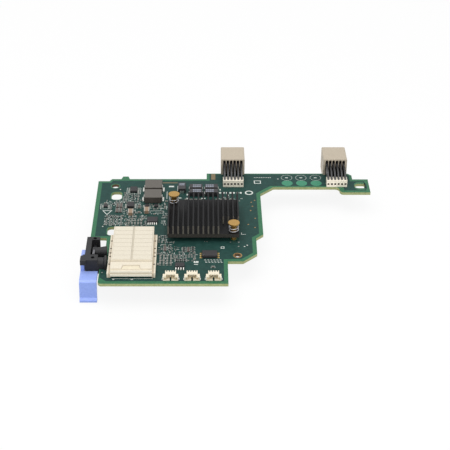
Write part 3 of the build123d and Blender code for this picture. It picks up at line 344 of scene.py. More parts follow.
for patch in PATCHES:
    add_patch(marks, *patch)
for outline in FRAMES:
    add_frame(marks, *outline)
for x, y, pitch, count, width, depth in TICK_ROWS:
    for i in range(count):
        add_patch(marks, x + pitch * i, y, width, depth)
add_disc(marks, *BROAD_RING, 0, INK_RISE, 0, hole=BROAD_RING_INNER)
add_sheet(marks, [TRIANGLE, TRIANGLE_INNER], 0, INK_RISE)
for x, y in DOT_PLACES:
    add_disc(marks, x, y, DOT_RADIUS, 0, INK_RISE, 1, count=36)
    add_disc(marks, x, y + DOT_RING_BEHIND, DOT_RADIUS, 0, INK_RISE, 0, hole=DOT_RING_INNER, count=36)
    add_patch(marks, x, y + DOT_RING_BEHIND, *DOT_BAR)
for strip in STRIPS:
    add_patch(marks, *strip, 2)
new_piece("printed_marks", marks, [ink, dot_green, strip_copper])


# Midplane connectors: a pale moulded hood, six black wafers that step down to the board with the contacts,
# and a pale comb that spaces their feet. Press-fit tails come out under the board.
# A near-black box stands deep in each window of the comb: painted shade, for the darkness inside the window.
def solids_of(name):
    """Lowest and highest corner of each separate solid of a CAD node, in millimetres."""
    mesh = nodes[name].data
    link = list(range(len(mesh.vertices)))

    def root(i):
        while link[i] != i:
            link[i] = link[link[i]]
            i = link[i]
        return i

    seen = {}
    for v in mesh.vertices:
        key = tuple(round(c / MM, 3) for c in v.co)
        link[root(v.index)] = root(seen.setdefault(key, v.index))
    for edge in mesh.edges:
        a, b = edge.vertices
        link[root(a)] = root(b)
    groups = {}
    for v in mesh.vertices:
        groups.setdefault(root(v.index), []).append(v.co / MM)
    return [(Vector(map(min, zip(*points))), Vector(map(max, zip(*points)))) for points in groups.values()]


EYE_WIDTH, EYE_Z, EYE_SETBACK = 1.06, 1.9, 0.08
hood_plastic = finish("hood_plastic", srgb(182, 170, 151), srgb(192, 180, 161), 1400, 0.5, bump=0.25,
                      shine=0.4)
comb_plastic = finish("comb_plastic", srgb(238, 229, 210), srgb(246, 238, 220), 1400, 0.5, bump=0.25)
wafer_plastic = finish("wafer_plastic", srgb(34, 35, 36), srgb(47, 47, 49), 1600, 0.42, bump=0.3)
tail_tin = finish("tail_tin", srgb(176, 176, 170), srgb(208, 208, 202), 2600, 0.34, bump=0.2, metal=0.9)
# Near-black, painted shade inside holes and windows.
hole_shade_dark = finish("hole_shade_dark", srgb(14, 13, 12), srgb(22, 20, 18), 1600, 0.7, bump=0.2, shine=0.2)
eye_shades = bmesh.new()
for side in ("left", "right"):
    dress(f"{side}_midplane_hood", hood_plastic, bevel=0.12)
    dress(f"{side}_midplane_organizer", comb_plastic, bevel=0.06)
    dress(f"{side}_midplane_wafers", wafer_plastic, bevel=0.06)
    dress(f"{side}_midplane_tails", tail_tin)
    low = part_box(f"{side}_midplane_organizer")[0] / MM
    for wafer_low, wafer_high in solids_of(f"{side}_midplane_wafers"):
        x = (wafer_low.x + wafer_high.x) / 2
        add_box(eye_shades, (x - EYE_WIDTH / 2, low.y + EYE_SETBACK, EYE_Z - EYE_WIDTH / 2),
                (x + EYE_WIDTH / 2, low.y + EYE_WIDTH, EYE_Z + EYE_WIDTH / 2))
new_piece("eye_painted_shade", eye_shades, [hole_shade_dark])


# Mezzanine connector: a cream moulded body soldered flat to the board, with contact plates laid in its deck.
# A darker strip along the inner edge of each side rail is painted shade for the channel there, and near-black
# boxes in its row of slots are painted shade in the holes.
# Thin sheets of darker cream are painted shade in the deck's groove, along its front step, round the plaque
# and in a band on the nose's front; paler sheets on the nose's upper front and on the lip are painted
# highlight.
CHANNEL_WIDTH, CHANNEL_GAP, RAIL_WIDTH = 0.95 * MM, 0.05 * MM, 1.7 * MM
SLOT_YS = (-12.0, -4.8, -1.6, 2.6, 9.8)
SLOT_HALF, SLOT_FOOT, SLOT_TOP = 0.48, 1.35, 2.35
DECK_FRONT, DECK_REAR, DECK_Z = -12.9, 19.3, 5.6
NOSE_FRONT, NOSE_Z, LEDGE_Z, BAND_Z = -20.4, 4.9, 4.0, 3.1
LIP_FRONT, LIP_Z, LIP_FOOT = -21.0, 2.3, 1.1
PLAQUE_WIDE, PLAQUE_NARROW, PLAQUE_YS, PLAQUE_FLOOR = 5.0, 4.3, (-19.4, -16.2), 4.45
GROOVE_HALF, STEP_SHADE, PLAQUE_LINE, SHEET_SKIN, SHEET_GAP = 0.33, 0.45, 0.4, 0.02, 0.1
cream = finish("mezzanine_cream", srgb(224, 215, 196), srgb(234, 225, 206), 1200, 0.5, bump=0.25, shine=0.4)
plate_cream = finish("plate_cream", srgb(220, 211, 192), srgb(230, 222, 204), 1200, 0.48, bump=0.25,
                     shine=0.4)
mezz_low, mezz_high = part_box("mezzanine_housing")
middle = (mezz_low.x + mezz_high.x) / 2
reach = (mezz_high.x - mezz_low.x) / 2 - RAIL_WIDTH
tree = cream.node_tree
tint = tree.nodes["Principled BSDF"].inputs["Base Color"].links[0].from_node
spot_parts = tree.nodes.new("ShaderNodeSeparateXYZ")
tree.links.new(tree.nodes["Texture Coordinate"].outputs["Object"], spot_parts.inputs["Vector"])
from_middle = tree.nodes.new("ShaderNodeMath")
from_middle.operation = "SUBTRACT"
from_middle.inputs[1].default_value = middle
tree.links.new(spot_parts.outputs["X"], from_middle.inputs[0])
outward = tree.nodes.new("ShaderNodeMath")
outward.operation = "ABSOLUTE"
tree.links.new(from_middle.outputs["Value"], outward.inputs[0])
in_channel = tree.nodes.new("ShaderNodeMath")
in_channel.operation = "COMPARE"
in_channel.inputs[1].default_value = reach + CHANNEL_WIDTH / 2 + CHANNEL_GAP
in_channel.inputs[2].default_value = CHANNEL_WIDTH / 2
tree.links.new(outward.outputs["Value"], in_channel.inputs[0])
# Darker cream: painted shade for the channel along each rail's inner edge.
shaded = tree.nodes.new("ShaderNodeMix")
shaded.data_type = "RGBA"
shaded.inputs[6].default_value = srgb(196, 181, 158)
shaded.inputs[7].default_value = srgb(208, 194, 172)
tree.links.new(tint.inputs["Factor"].links[0].from_socket, shaded.inputs["Factor"])
channel_shade_mix = tree.nodes.new("ShaderNodeMix")
channel_shade_mix.data_type = "RGBA"
tree.links.new(in_channel.outputs["Value"], channel_shade_mix.inputs["Factor"])
tree.links.new(tint.outputs[2], channel_shade_mix.inputs[6])
tree.links.new(shaded.outputs[2], channel_shade_mix.inputs[7])
tree.links.new(channel_shade_mix.outputs[2], tree.nodes["Principled BSDF"].inputs["Base Color"])
dress("mezzanine_housing", cream, bevel=0.12)
dress("mezzanine_contact_plates", plate_cream, bevel=0.1)
# Near-black boxes in the rail slots: painted shade in the holes.
shadows = bmesh.new()
for x in (mezz_low.x / MM + RAIL_WIDTH / MM / 2, mezz_high.x / MM - RAIL_WIDTH / MM / 2):
    for y in SLOT_YS:
        add_box(shadows, (x - SLOT_HALF, y - SLOT_HALF, SLOT_FOOT), (x + SLOT_HALF, y + SLOT_HALF, SLOT_TOP))
new_piece("rail_slot_painted_shade", shadows, [hole_shade_dark])
# Darker cream for painted shade, and paler cream on the nose's upper front and the lip for painted highlight.
seam_shade = finish("seam_shade", srgb(197, 188, 169), srgb(207, 198, 180), 1200, 0.55, bump=0.2, shine=0.3)
front_painted_highlight = finish("front_painted_highlight", srgb(240, 232, 215), srgb(247, 240, 224), 1200, 0.5, bump=0.2, shine=0.4)
plaque_cream = finish("plaque_cream", srgb(228, 217, 191), srgb(236, 226, 201), 1200, 0.5, bump=0.2,
                      shine=0.4)
middle, reach = middle / MM, reach / MM
painted_light_sheets = bmesh.new()
add_box(painted_light_sheets, (middle - GROOVE_HALF, DECK_FRONT + SHEET_GAP, DECK_Z),
        (middle + GROOVE_HALF, DECK_REAR - SHEET_GAP, DECK_Z + SHEET_SKIN), 0)
add_box(painted_light_sheets, (middle - reach + SHEET_GAP, DECK_FRONT - STEP_SHADE, NOSE_Z),
        (middle + reach - SHEET_GAP, DECK_FRONT, NOSE_Z + SHEET_SKIN), 0)
for face_y, foot, top, index in ((NOSE_FRONT, LIP_Z, BAND_Z, 0), (NOSE_FRONT, BAND_Z, LEDGE_Z, 1),
                                 (LIP_FRONT, LIP_FOOT, LIP_Z, 1)):
    add_box(painted_light_sheets, (middle - reach, face_y - SHEET_SKIN, foot), (middle + reach, face_y, top), index)


def plaque_ring(line, front):
    """Outline of the plaque, drawn in from its sides and rear by the width of a line."""
    rear = PLAQUE_YS[1] - line
    return [(middle - PLAQUE_WIDE + line, front), (middle + PLAQUE_WIDE - line, front),
            (middle + PLAQUE_NARROW - line, rear), (middle - PLAQUE_NARROW + line, rear)]


plaque_inner = plaque_ring(PLAQUE_LINE, PLAQUE_YS[0] + SHEET_SKIN)
add_sheet(painted_light_sheets, [plaque_ring(0, PLAQUE_YS[0]), plaque_inner], PLAQUE_FLOOR, PLAQUE_FLOOR + SHEET_SKIN, 0)
add_sheet(painted_light_sheets, [plaque_inner], PLAQUE_FLOOR, PLAQUE_FLOOR + SHEET_SKIN / 2, 2)
new_piece("mezzanine_painted_light", painted_light_sheets, [seam_shade, front_painted_highlight, plaque_cream])


# Controller chip and thermal pad: a black ball-grid package under a soft grey pad.
# Both are nearly hidden below the heat sink.
chip_black = finish("chip_black", srgb(38, 37, 39), srgb(49, 47, 49), 2200, 0.55, bump=0.3, shine=0.38)
dress("controller_chip", chip_black, bevel=0.08)
pad_grey = finish("thermal_pad_grey", srgb(120, 120, 124), srgb(140, 140, 144), 1500, 0.8, bump=0.4)
dress("thermal_pad", pad_grey)


# Heat sink: an aluminium extrusion, cross-cut at two corners and anodised black.
# The sawn ends of its fins show paler than the rest, and the base's end only a little.
FIN_FOOT, FIN_FOOT_BLEND = 2.1 * MM, 0.1 * MM
BASE_SHARE, FIN_SHARE = 0.3, 0.9
anodised = finish("black_anodised", srgb(13, 13, 15), srgb(20, 20, 22), 1800, 0.5, bump=0.3, metal=0.1,
                  shine=0.2)
tree = anodised.node_tree
sink_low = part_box("heat_sink")[0]
face = tree.nodes.new("ShaderNodeNewGeometry")
face_parts = tree.nodes.new("ShaderNodeSeparateXYZ")
tree.links.new(face.outputs["True Normal"], face_parts.inputs["Vector"])
toward_ends = tree.nodes.new("ShaderNodeMath")
toward_ends.operation = "ABSOLUTE"
tree.links.new(face_parts.outputs["Y"], toward_ends.inputs[0])
spot = tree.nodes.new("ShaderNodeTexCoord")
spot_parts = tree.nodes.new("ShaderNodeSeparateXYZ")
tree.links.new(spot.outputs["Object"], spot_parts.inputs["Vector"])
above_base = tree.nodes.new("ShaderNodeMapRange")
above_base.inputs["From Min"].default_value = sink_low.z + FIN_FOOT
above_base.inputs["From Max"].default_value = sink_low.z + FIN_FOOT + FIN_FOOT_BLEND
above_base.inputs["To Min"].default_value = BASE_SHARE
above_base.inputs["To Max"].default_value = FIN_SHARE
tree.links.new(spot_parts.outputs["Z"], above_base.inputs["Value"])
sawn = tree.nodes.new("ShaderNodeMath")
sawn.operation = "MULTIPLY"
tree.links.new(toward_ends.outputs["Value"], sawn.inputs[0])
tree.links.new(above_base.outputs["Result"], sawn.inputs[1])
coat_tint = tree.nodes["Principled BSDF"].inputs["Base Color"].links[0].from_socket
end_tint = tree.nodes.new("ShaderNodeMix")
end_tint.data_type = "RGBA"
sawn_tint = tree.nodes.new("ShaderNodeMix")
sawn_tint.data_type = "RGBA"
sawn_tint.inputs[6].default_value = srgb(94, 90, 82)
sawn_tint.inputs[7].default_value = srgb(114, 110, 102)
tree.links.new(coat_tint.node.inputs["Factor"].links[0].from_socket, sawn_tint.inputs["Factor"])
tree.links.new(coat_tint, end_tint.inputs[6])
tree.links.new(sawn_tint.outputs[2], end_tint.inputs[7])
tree.links.new(sawn.outputs["Value"], end_tint.inputs["Factor"])
tree.links.new(end_tint.outputs[2], tree.nodes["Principled BSDF"].inputs["Base Color"])
dress("heat_sink", anodised, bevel=0.08)


# Push pins and springs: turned brass pins snap through the board at two corners of the heat sink.
# A steel coil spring under each head presses the sink on to the chip.
SPRING_RADIUS, SPRING_WIRE, SPRING_TURNS, SPRING_SEAT = 2.4, 0.5, 2.6, 0.02
FLAT_SHARE, FLAT_RISE = 0.16, 0.12


def coil(bm, x, y, z0, z1, radius, wire, turns, around=12, steps=40):
    """Round-wire compression spring with a flattened turn at each end."""
    rings = []
    total = int(turns * steps)
    for i in range(total + 1):
        share = i / total
        lift = min(max((share - FLAT_SHARE) / (1 - 2 * FLAT_SHARE), 0), 1)
        angle = 2 * pi * turns * share
        z = z0 + wire / 2 + (z1 - z0 - wire) * (FLAT_RISE * share + (1 - FLAT_RISE) * lift)
        ring = []
        for k in range(around):
            turn = 2 * pi * k / around
            r = radius + wire / 2 * cos(turn)
            ring.append(bm.verts.new(((x + r * cos(angle)) * MM, (y + r * sin(angle)) * MM,
                                      (z + wire / 2 * sin(turn)) * MM)))
        rings.append(ring)
    for a, b in zip(rings, rings[1:]):
        for k in range(around):
            bm.faces.new((a[k], b[k], b[(k + 1) % around], a[(k + 1) % around]))
    bm.faces.new(rings[0])
    bm.faces.new(list(reversed(rings[-1])))


brass = finish("turned_brass", srgb(166, 130, 68), srgb(187, 149, 83), 1600, 0.36, bump=0.2, metal=0.75)
spring_steel = finish("spring_steel", srgb(164, 164, 167), srgb(196, 196, 199), 2600, 0.24, bump=0.1,
                      metal=1.0)
for corner in ("rear", "front"):
    dress(f"{corner}_push_pin", brass, bevel=0.12)
    low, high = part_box(f"{corner}_pin_spring")
    pin_low, pin_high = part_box(f"{corner}_push_pin")
    centre = (pin_low + pin_high) / 2 / MM
    spring = bmesh.new()
    coil(spring, centre.x, centre.y, low.z / MM + SPRING_SEAT, high.z / MM,
         SPRING_RADIUS, SPRING_WIRE, SPRING_TURNS)
    new_piece(f"{corner}_coil_spring", spring, [spring_steel],
              stands_for=[f"{corner}_pin_spring"], smooth=True)


# Power inductors: pressed grey powder blocks with folded tinned terminals.
# They are soldered side by side in the power corner.
INDUCTOR_X = -45.1
SOLDER_REACH, SOLDER_HALF, SOLDER_RISE = 0.9, 2.1, 0.22
powder = finish("pressed_powder", srgb(93, 89, 84), srgb(106, 102, 96), 2600, 0.62, bump=0.5, shine=0.3)
upright_tint(powder, srgb(66, 62, 57), srgb(78, 72, 67))
for row in ("rear", "front"):
    dress(f"{row}_power_inductor", powder, bevel=0.1)
dress("inductor_terminals", tin, bevel=0.05)
wedges = bmesh.new()
for low, high in solids_of("inductor_terminals"):
    outward = -1 if low.x < INDUCTOR_X else 1
    edge = low.x if outward < 0 else high.x
    x0, x1 = sorted((edge, edge + outward * SOLDER_REACH))
    y = (low.y + high.y) / 2
    add_box(wedges, (x0, y - SOLDER_HALF, 0), (x1, y + SOLDER_HALF, SOLDER_RISE))
new_piece("inductor_solder", wedges, [tin], bevel=0.08)


# Capacitors: black moulded polymer blocks with pale printed bars, and tan ceramic blocks with tinned ends.
# Both kinds lie flat and are soldered by their ends.
def add_terminals(bm, low, high, share, index, swell=0.02, along=None):
    """Metal caps over both ends of a block, along its longer side unless told."""
    if along is None:
        along = 0 if high.x - low.x > high.y - low.y else 1
    length = high[along] - low[along]
    for end in (0, 1):
        a, b = low.copy(), high.copy()
        if end:
            a[along] = high[along] - share * length
        else:
            b[along] = low[along] + share * length
        grow = Vector((swell, swell, swell))
        a, b = a - grow, b + grow
        a.z = max(a.z, 0.0)
        add_box(bm, a, b, index)


def drawn_in(low, high, inset):
    """Corners of a block that is cut back at its sides and top."""
    return low + Vector((inset, inset, 0)), high - Vector((inset, inset, inset))


polymer_black = finish("polymer_black", srgb(36, 35, 38), srgb(46, 44, 47), 2200, 0.5, bump=0.3)
dress("polymer_capacitors", polymer_black, bevel=0.08)
dress("polymer_terminals", tin, bevel=0.03)
polymer_ink = finish("polymer_ink", srgb(126, 133, 147), srgb(158, 165, 178), 900, 0.5, bump=0.1)
BAR_ROWS, BAR_COUNT, BAR_PITCH, BAR_LENGTH, BAR_HALF = (0.3, 0.68), 4, 1.15, 0.9, 0.5
LEFT_BAR_START, RIGHT_BAR_START, BAR_SPLIT_X = 2.0, 0.5, -19.0
SHORT_ROWS, SHORT_INSET, SHORT_HALF = (0.62, 0.8), 0.7, 0.35
PRINT_RISE = 0.02
bands = bmesh.new()
for low, high in solids_of("polymer_capacitors"):
    if high.x - low.x > high.y - low.y:
        start = low.x + (LEFT_BAR_START if low.x < BAR_SPLIT_X else RIGHT_BAR_START)
        for row in BAR_ROWS:
            y = low.y + (high.y - low.y) * row
            for i in range(BAR_COUNT):
                x = start + BAR_PITCH * i
                add_box(bands, (x, y - BAR_HALF, high.z), (x + BAR_LENGTH, y + BAR_HALF, high.z + PRINT_RISE))
    else:
        for row in SHORT_ROWS:
            y = low.y + (high.y - low.y) * row
            add_box(bands, (low.x + SHORT_INSET, y - SHORT_HALF, high.z),
                    (high.x - SHORT_INSET, y + SHORT_HALF, high.z + PRINT_RISE))
new_piece("polymer_marks", bands, [polymer_ink])
tan_ceramic = finish("tan_ceramic", srgb(144, 120, 98), srgb(160, 136, 113), 2200, 0.5, bump=0.3)
end_tin = finish("end_tin", srgb(164, 160, 152), srgb(190, 186, 178), 3000, 0.42, bump=0.3, metal=0.6)
BODY_INSET, END_INSET, CERAMIC_END = 0.04, 0.03, 0.17
ceramics = bmesh.new()
for low, high in solids_of("ceramic_capacitors"):
    add_box(ceramics, *drawn_in(low, high, BODY_INSET), 0)
    add_terminals(ceramics, *drawn_in(low, high, END_INSET), CERAMIC_END, 1, along=0)
new_piece("large_ceramics", ceramics, [tan_ceramic, end_tin],
          stands_for=["ceramic_capacitors"], bevel=0.08)


# Leaded chips: moulded black bodies with bent leads soldered to pads on the board.
# The leads are tinned, and gilt on the memory. A small dimple marks the first lead of the larger ones.
LAND_MARGIN, LAND_RISE = 0.1, 0.045
DIMPLE_RADIUS, DIMPLE_INSET, DIMPLE_RISE = 0.28, 0.8, 0.012
CHIPS = ("rear_power_switch", "front_power_switch", "regulator", "memory", "settings_memory")
gilt = finish("contact_gilt", srgb(196, 160, 86), srgb(222, 188, 112), 2600, 0.3, bump=0.15, metal=1.0)
pad_tin = finish("pad_tin", srgb(186, 188, 182), srgb(216, 217, 211), 2600, 0.38, bump=0.25, metal=0.8)
dimples = bmesh.new()
for chip in CHIPS:
    dress(f"{chip}_chip", chip_black, bevel=0.06)
    dress(f"{chip}_leads", gilt if chip == "memory" else tin, bevel=0.02)
    low, high = (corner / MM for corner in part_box(f"{chip}_chip"))
    add_disc(dimples, low.x + DIMPLE_INSET, low.y + DIMPLE_INSET, DIMPLE_RADIUS,
             high.z, high.z + DIMPLE_RISE, 0, count=16)
dress("logic_chips", chip_black, bevel=0.05)
dress("logic_leads", tin, bevel=0.02)
dimple_grey = finish("dimple_grey", srgb(84, 82, 82), srgb(98, 96, 96), 2000, 0.4, bump=0.1)
new_piece("first_lead_dimples", dimples, [dimple_grey])
lands = bmesh.new()
for chip in CHIPS + ("logic",):
    for low, high in solids_of(f"{chip}_leads"):
        add_box(lands, (low.x - LAND_MARGIN, low.y - LAND_MARGIN, 0),
                (high.x + LAND_MARGIN, high.y + LAND_MARGIN, LAND_RISE))
new_piece("solder_lands", lands, [pad_tin])


# Small chip parts: ceramic resistors with a black glazed face, brown-grey capacitors, and resistor arrays.
# Resistors and capacitors have a tinned end on each of two solder pads, and arrays have four on each side.
CHIP_INSET, PAD_REACH, PAD_MARGIN, PAD_RISE = 0.03, 0.42, 0.1, 0.05
ARRAY_ROWS, FOOT_OUT, FOOT_IN, FOOT_HALF, FOOT_RISE = 4, 0.25, 0.28, 0.3, 0.08
joint_tin = finish("joint_tin", srgb(132, 138, 133), srgb(166, 170, 165), 3000, 0.44, bump=0.3, metal=0.6)
glaze = finish("resistor_glaze", srgb(40, 40, 42), srgb(56, 56, 58), 3000, 0.4, bump=0.2)
grey_ceramic = finish("grey_ceramic", srgb(112, 104, 95), srgb(134, 125, 115), 3000, 0.5, bump=0.25)
array_body = finish("array_body", srgb(74, 64, 60), srgb(94, 80, 74), 2600, 0.5, bump=0.25)
CHIP_KINDS = (("chip_resistors", glaze, 0.26), ("chip_capacitors", grey_ceramic, 0.28),
              ("resistor_arrays", array_body, 0))
for name, body_material, end_share in CHIP_KINDS:
    chips = bmesh.new()
    for low, high in solids_of(name):
        add_box(chips, *drawn_in(low, high, CHIP_INSET), 0)
        if end_share:
            add_terminals(chips, low, high, end_share, 1, swell=0.0)
            along = 0 if high.x - low.x > high.y - low.y else 1
            across = 1 - along
            for edge in (low[along], high[along]):
                a, b = low.copy(), high.copy()
                a[along], b[along] = edge - PAD_REACH, edge + PAD_REACH
                a[across], b[across] = a[across] - PAD_MARGIN, b[across] + PAD_MARGIN
                a.z, b.z = 0, PAD_RISE
                add_box(chips, a, b, 1)
        else:
            step = (high.y - low.y) / ARRAY_ROWS
            for i in range(ARRAY_ROWS):
                y = low.y + step * (i + 0.5)
                y0, y1 = y - FOOT_HALF, y + FOOT_HALF
                for x0, x1 in ((low.x - FOOT_OUT, low.x + FOOT_IN), (high.x - FOOT_IN, high.x + FOOT_OUT)):
                    add_box(chips, (x0, y0, 0), (x1, y1, FOOT_RISE), 1)
                    add_box(chips, (max(x0, low.x), y0, FOOT_RISE), (min(x1, high.x), y1, high.z), 1)
    new_piece(f"soldered_{name}", chips, [body_material, joint_tin],
              stands_for=[name])


# Loose small parts and their printed ticks: the finest chips, which stand between the larger ones.
# Each is a ceramic block about a millimetre long with tinned ends, placed by machine and soldered.
# They keep clear of the holes, the key slots and every larger part.
SMALL_SIZE, LARGE_SIZE = (1.0, 0.5, 0.35), (1.5, 0.8, 0.45)
TURNED_SHARE, CRUMB_INSET, CRUMB_END, CRUMB_GAP = 0.55, 0.02, 0.28, 0.22
TICK_LENGTHS, TICK_WIDTH, TICK_GAP, TICK_SHARE = (0.7, 0.9, 1.3), 0.28, 0.1, 0.5
PLACE_TRIES, STEPS_PER_MM = 60, 4
taken = [(-2.8, -2.8, 2.8, 2.8), (-70.2, 67.8, -63.2, 75.2), (-69.2, 55.6, -61.6, 66.0),
         (-69.4, 18.6, -61.2, 28.9)]
for name in nodes:
    if name != "circuit_board":
        taken += [(low.x, low.y, high.x, high.y) for low, high in solids_of(name)]
dice = Random(20)


def free_place(region, width, depth, gap):
    """Centre of a free spot in a region, on a quarter-millimetre grid, or nothing."""
    for _ in range(PLACE_TRIES):
        x = round(dice.uniform(region[0], region[2]) * STEPS_PER_MM) / STEPS_PER_MM
        y = round(dice.uniform(region[1], region[3]) * STEPS_PER_MM) / STEPS_PER_MM
        spot = (x - width / 2 - gap, y - depth / 2 - gap, x + width / 2 + gap, y + depth / 2 + gap)
        if all(spot[0] > t[2] or spot[2] < t[0] or spot[1] > t[3] or spot[3] < t[1] for t in taken):
            taken.append((x - width / 2, y - depth / 2, x + width / 2, y + depth / 2))
            return x, y
    return None


CROWDS = (
    (-70.4, 28.8, -60.6, 39.4, 24, 30), (-59.6, 28.8, -47.8, 40.0, 16, 22),
    (-64.8, 52.6, -53.0, 64.2, 16, 16), (-53.4, 40.6, -38.8, 56.0, 12, 14),
    (-40.6, 11.6, -32.6, 19.2, 14, 9), (-40.6, 0.4, -33.4, 10.4, 14, 11),
    (-40.4, -9.0, -33.2, 0.4, 8, 8), (-33.2, -6.2, -20.8, 8.2, 16, 14),
    (-39.2, 29.0, -36.8, 56.0, 5, 12), (-12.0, 54.4, 4.0, 60.2, 8, 8),
    (-60.6, 41.0, -53.6, 47.6, 4, 10), (-71.6, 46.0, -60.6, 55.6, 8, 12),
)
crumbs = bmesh.new()
ticks = bmesh.new()
for *region, parts, prints in CROWDS:
    for i in range(parts):
        turned = dice.random() < TURNED_SHARE
        length, width, height = SMALL_SIZE if i % 3 else LARGE_SIZE
        size_x, size_y = (width, length) if turned else (length, width)
        spot = free_place(region, size_x, size_y, CRUMB_GAP)
        if spot:
            x, y = spot
            low = Vector((x - size_x / 2, y - size_y / 2, 0))
            high = Vector((x + size_x / 2, y + size_y / 2, height))
            add_box(crumbs, *drawn_in(low, high, CRUMB_INSET), i % 2)
            add_terminals(crumbs, low, high, CRUMB_END, 2, swell=0.0)
    for _ in range(prints):
        length = dice.choice(TICK_LENGTHS)
        size_x, size_y = (length, TICK_WIDTH) if dice.random() < TICK_SHARE else (TICK_WIDTH, length)
        spot = free_place(region, size_x, size_y, TICK_GAP)
        if spot:
            add_patch(ticks, *spot, size_x, size_y)
new_piece("loose_small_parts", crumbs, [glaze, grey_ceramic, joint_tin])
new_piece("printed_ticks", ticks, [ink])


# Wire headers: pale right-angle shells along the front edge, with bent contacts and tinned hold-down tabs.
# A small wire plug pushes into each from the front.
header_plastic = finish("header_plastic", srgb(232, 222, 198), srgb(243, 234, 212), 1600, 0.5, bump=0.25,
                        shine=0.4)
for name in ("left", "middle", "right"):
    dress(f"{name}_wire_header", header_plastic, bevel=0.08)
pale_gilt = finish("pale_gilt", srgb(200, 183, 145), srgb(220, 205, 168), 2600, 0.4, bump=0.15, metal=0.2)
dress("header_contacts", pale_gilt, bevel=0.03)
dress("header_solder_tabs", tin, bevel=0.04)


# Lever bracket and pin: a black moulding clipped into the board's bay, with a steel pin for the lever.
# A half-round collar stands round each of its two bosses, and a web runs between them, paler grey than the
# moulding as painted highlight where its top catches the light.
BOSS_Z, COLLAR_FOOT, COLLAR_SETBACK = 2.5, 0.02, 0.03
COLLARS = ((-10.3, ((-0.9, 2.55), (-0.4, 3.5), (0.4, 3.5))),
           (-0.6, ((-3.2, 2.55), (-0.5, 3.0), (0.0, 3.05))))
WEB_XS = (-73.6, -72.5)
WEB_OUTLINE = ((-6.9, 5.45), (-6.9, 0.5), (1.3, 0.5), (1.3, 4.2))
bracket_black = finish("bracket_black", srgb(32, 32, 34), srgb(42, 42, 44), 1500, 0.46, bump=0.3, shine=0.28)
dress("lever_bracket", bracket_black, bevel=0.18)
dress("lever_pivot_pin", spring_steel, bevel=0.08)


def add_arch(bm, y, z, sections, foot, count=24):
    """Half-round bar along X with upright sides down to a foot, through (x, radius) sections."""
    rings = []
    for x, radius in sections:
        angles = [pi * i / count for i in range(count + 1)]
        outline = [(y + radius * cos(angle), z + radius * sin(angle)) for angle in angles]
        outline += [(y - radius, foot), (y + radius, foot)]
        rings.append([bm.verts.new((x * MM, py * MM, pz * MM)) for py, pz in outline])
    for a, b in zip(rings, rings[1:]):
        for i in range(len(a)):
            j = (i + 1) % len(a)
            bm.faces.new((a[j], a[i], b[i], b[j]))
    bm.faces.new(rings[0])
    bm.faces.new(list(reversed(rings[-1])))


boss_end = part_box("lever_bracket")[1].x / MM - COLLAR_SETBACK
rims = bmesh.new()
for y, sections in COLLARS:
    add_arch(rims, y, BOSS_Z, [(boss_end + x, radius) for x, radius in sections], COLLAR_FOOT)
new_piece("boss_rims", rims, [bracket_black])
# Paler grey: painted highlight on the web's top.
web_highlight_grey = finish("web_highlight_grey", srgb(84, 84, 88), srgb(104, 104, 108), 1500, 0.4, bump=0.3)
web = bmesh.new()
sides = [[web.verts.new((x * MM, y * MM, z * MM)) for y, z in WEB_OUTLINE] for x in WEB_XS]
web.faces.new(sides[0])
web.faces.new(list(reversed(sides[1])))
for i in range(len(WEB_OUTLINE)):
    j = (i + 1) % len(WEB_OUTLINE)
    web.faces.new((sides[0][j], sides[0][i], sides[1][i], sides[1][j]))
new_piece("bracket_web", web, [web_highlight_grey], bevel=0.12)


# Release lever: one blue moulding with an arm on the pin, a thumb plate and a tab that hangs down.
# Pulling the tab up lifts the card out of its sockets.
lever_blue = finish("lever_blue", srgb(150, 172, 240), srgb(160, 182, 248), 1100, 0.45, bump=0.2)
# Its upright faces, the hanging tab among them, take a darker blue as painted shade, since less light falls
# on them than on the plate; the moulding itself is one blue.
upright_tint(lever_blue, srgb(130, 153, 220), srgb(139, 162, 228))
dress("release_lever", lever_blue, bevel=0.3, segments=3)


# Floor and light: a plain pale floor under a white studio sky, with a broad panel overhead and one in front.
# None of it is part of the object.
FLOOR_DROP, FLOOR_HALF, FLOOR_THICK = 0.6, 3000, 10
WHITE = (1.0, 1.0, 1.0, 1.0)
FLOOR_GLOW, FLOOR_GLOW_SHARE, SKY_LIGHT, SKY_SEEN = 1.0, 0.88, 0.56, 1.0


def looked_at(tree, ray):
    """Socket that is 1 for rays from the camera, and for those mirrored or let through by the object."""
    total = ray.outputs["Is Camera Ray"]
    for name in ("Is Glossy Ray", "Is Transmission Ray"):
        add = tree.nodes.new("ShaderNodeMath")
        add.operation = "ADD"
        add.use_clamp = True
        tree.links.new(total, add.inputs[0])
        tree.links.new(ray.outputs[name], add.inputs[1])
        total = add.outputs["Value"]
    return total


floor_top = cad_box[0][2] / MM - FLOOR_DROP
floor = bmesh.new()
add_box(floor, (-FLOOR_HALF, -FLOOR_HALF, floor_top - FLOOR_THICK), (FLOOR_HALF, FLOOR_HALF, floor_top))
floor_mesh = bpy.data.meshes.new("floor")
floor.to_mesh(floor_mesh)
floor.free()
floor_piece = bpy.data.objects.new("floor", floor_mesh)
bpy.context.scene.collection.objects.link(floor_piece)
floor_white = finish("floor_white", srgb(247, 247, 247), srgb(250, 250, 250), 3, 0.9, shine=0.1)
lift = floor_white.node_tree
bright = lift.nodes.new("ShaderNodeEmission")
bright.inputs["Color"].default_value = WHITE
bright.inputs["Strength"].default_value = FLOOR_GLOW
ray = lift.nodes.new("ShaderNodeLightPath")
share = lift.nodes.new("ShaderNodeMath")
share.operation = "MULTIPLY"
share.inputs[1].default_value = FLOOR_GLOW_SHARE
lift.links.new(looked_at(lift, ray), share.inputs[0])
join = lift.nodes.new("ShaderNodeMixShader")
lift.links.new(share.outputs["Value"], join.inputs["Fac"])
lift.links.new(lift.nodes["Principled BSDF"].outputs["BSDF"], join.inputs[1])
lift.links.new(bright.outputs["Emission"], join.inputs[2])
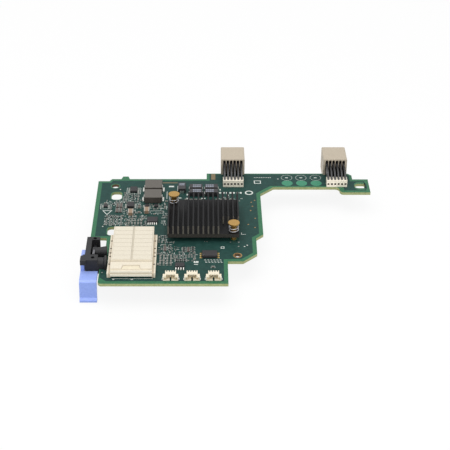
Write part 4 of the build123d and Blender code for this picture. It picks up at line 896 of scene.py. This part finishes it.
lift.links.new(join.outputs["Shader"], lift.nodes["Material Output"].inputs["Surface"])
floor_mesh.materials.append(floor_white)

scene = bpy.context.scene
scene.view_settings.view_transform = "Standard"
world = bpy.data.worlds.new("studio")
scene.world = world
world.use_nodes = True
sky = world.node_tree
sky.nodes.clear()
path = sky.nodes.new("ShaderNodeLightPath")
studio = sky.nodes.new("ShaderNodeBackground")
studio.inputs["Color"].default_value = WHITE
studio.inputs["Strength"].default_value = SKY_LIGHT
seen = sky.nodes.new("ShaderNodeBackground")
seen.inputs["Color"].default_value = WHITE
seen.inputs["Strength"].default_value = SKY_SEEN
blend = sky.nodes.new("ShaderNodeMixShader")
output = sky.nodes.new("ShaderNodeOutputWorld")
sky.links.new(looked_at(sky, path), blend.inputs["Fac"])
sky.links.new(studio.outputs["Background"], blend.inputs[1])
sky.links.new(seen.outputs["Background"], blend.inputs[2])
sky.links.new(blend.outputs["Shader"], output.inputs["Surface"])


def panel(name, place, target, size, power):
    """Soft rectangular light aimed at a point."""
    light = bpy.data.lights.new(name, "AREA")
    light.size = size
    light.energy = power
    lamp = bpy.data.objects.new(name, light)
    lamp.location = place
    lamp.rotation_euler = (Vector(target) - Vector(place)).to_track_quat("-Z", "Y").to_euler()
    scene.collection.objects.link(lamp)


panel("overhead", place=(-0.1, 0.05, 0.8), target=(0.0, 0.03, 0.0), size=0.8, power=4.0)
panel("front_fill", place=(0.15, -0.85, 0.4), target=(0.0, 0.0, 0.0), size=0.7, power=2.6)


# Camera: stands in front of the card and looks down on it at about thirty degrees.
# A long lens, as in a product photograph, with the frame shifted a little to one side.
CAMERA_AT = (-0.0177, -0.5394, 0.3475)
CAMERA_TILT = 58.6
CAMERA_LENS = 100.4
CAMERA_SHIFT = 0.0489
SENSOR_WIDTH = 36.0
camera_data = bpy.data.cameras.new("camera")
camera_data.lens = CAMERA_LENS
camera_data.sensor_width = SENSOR_WIDTH
camera_data.shift_x = CAMERA_SHIFT
camera = bpy.data.objects.new("camera", camera_data)
camera.location = CAMERA_AT
camera.rotation_euler = (radians(CAMERA_TILT), 0.0, 0.0)
scene.collection.objects.link(camera)
scene.camera = camera
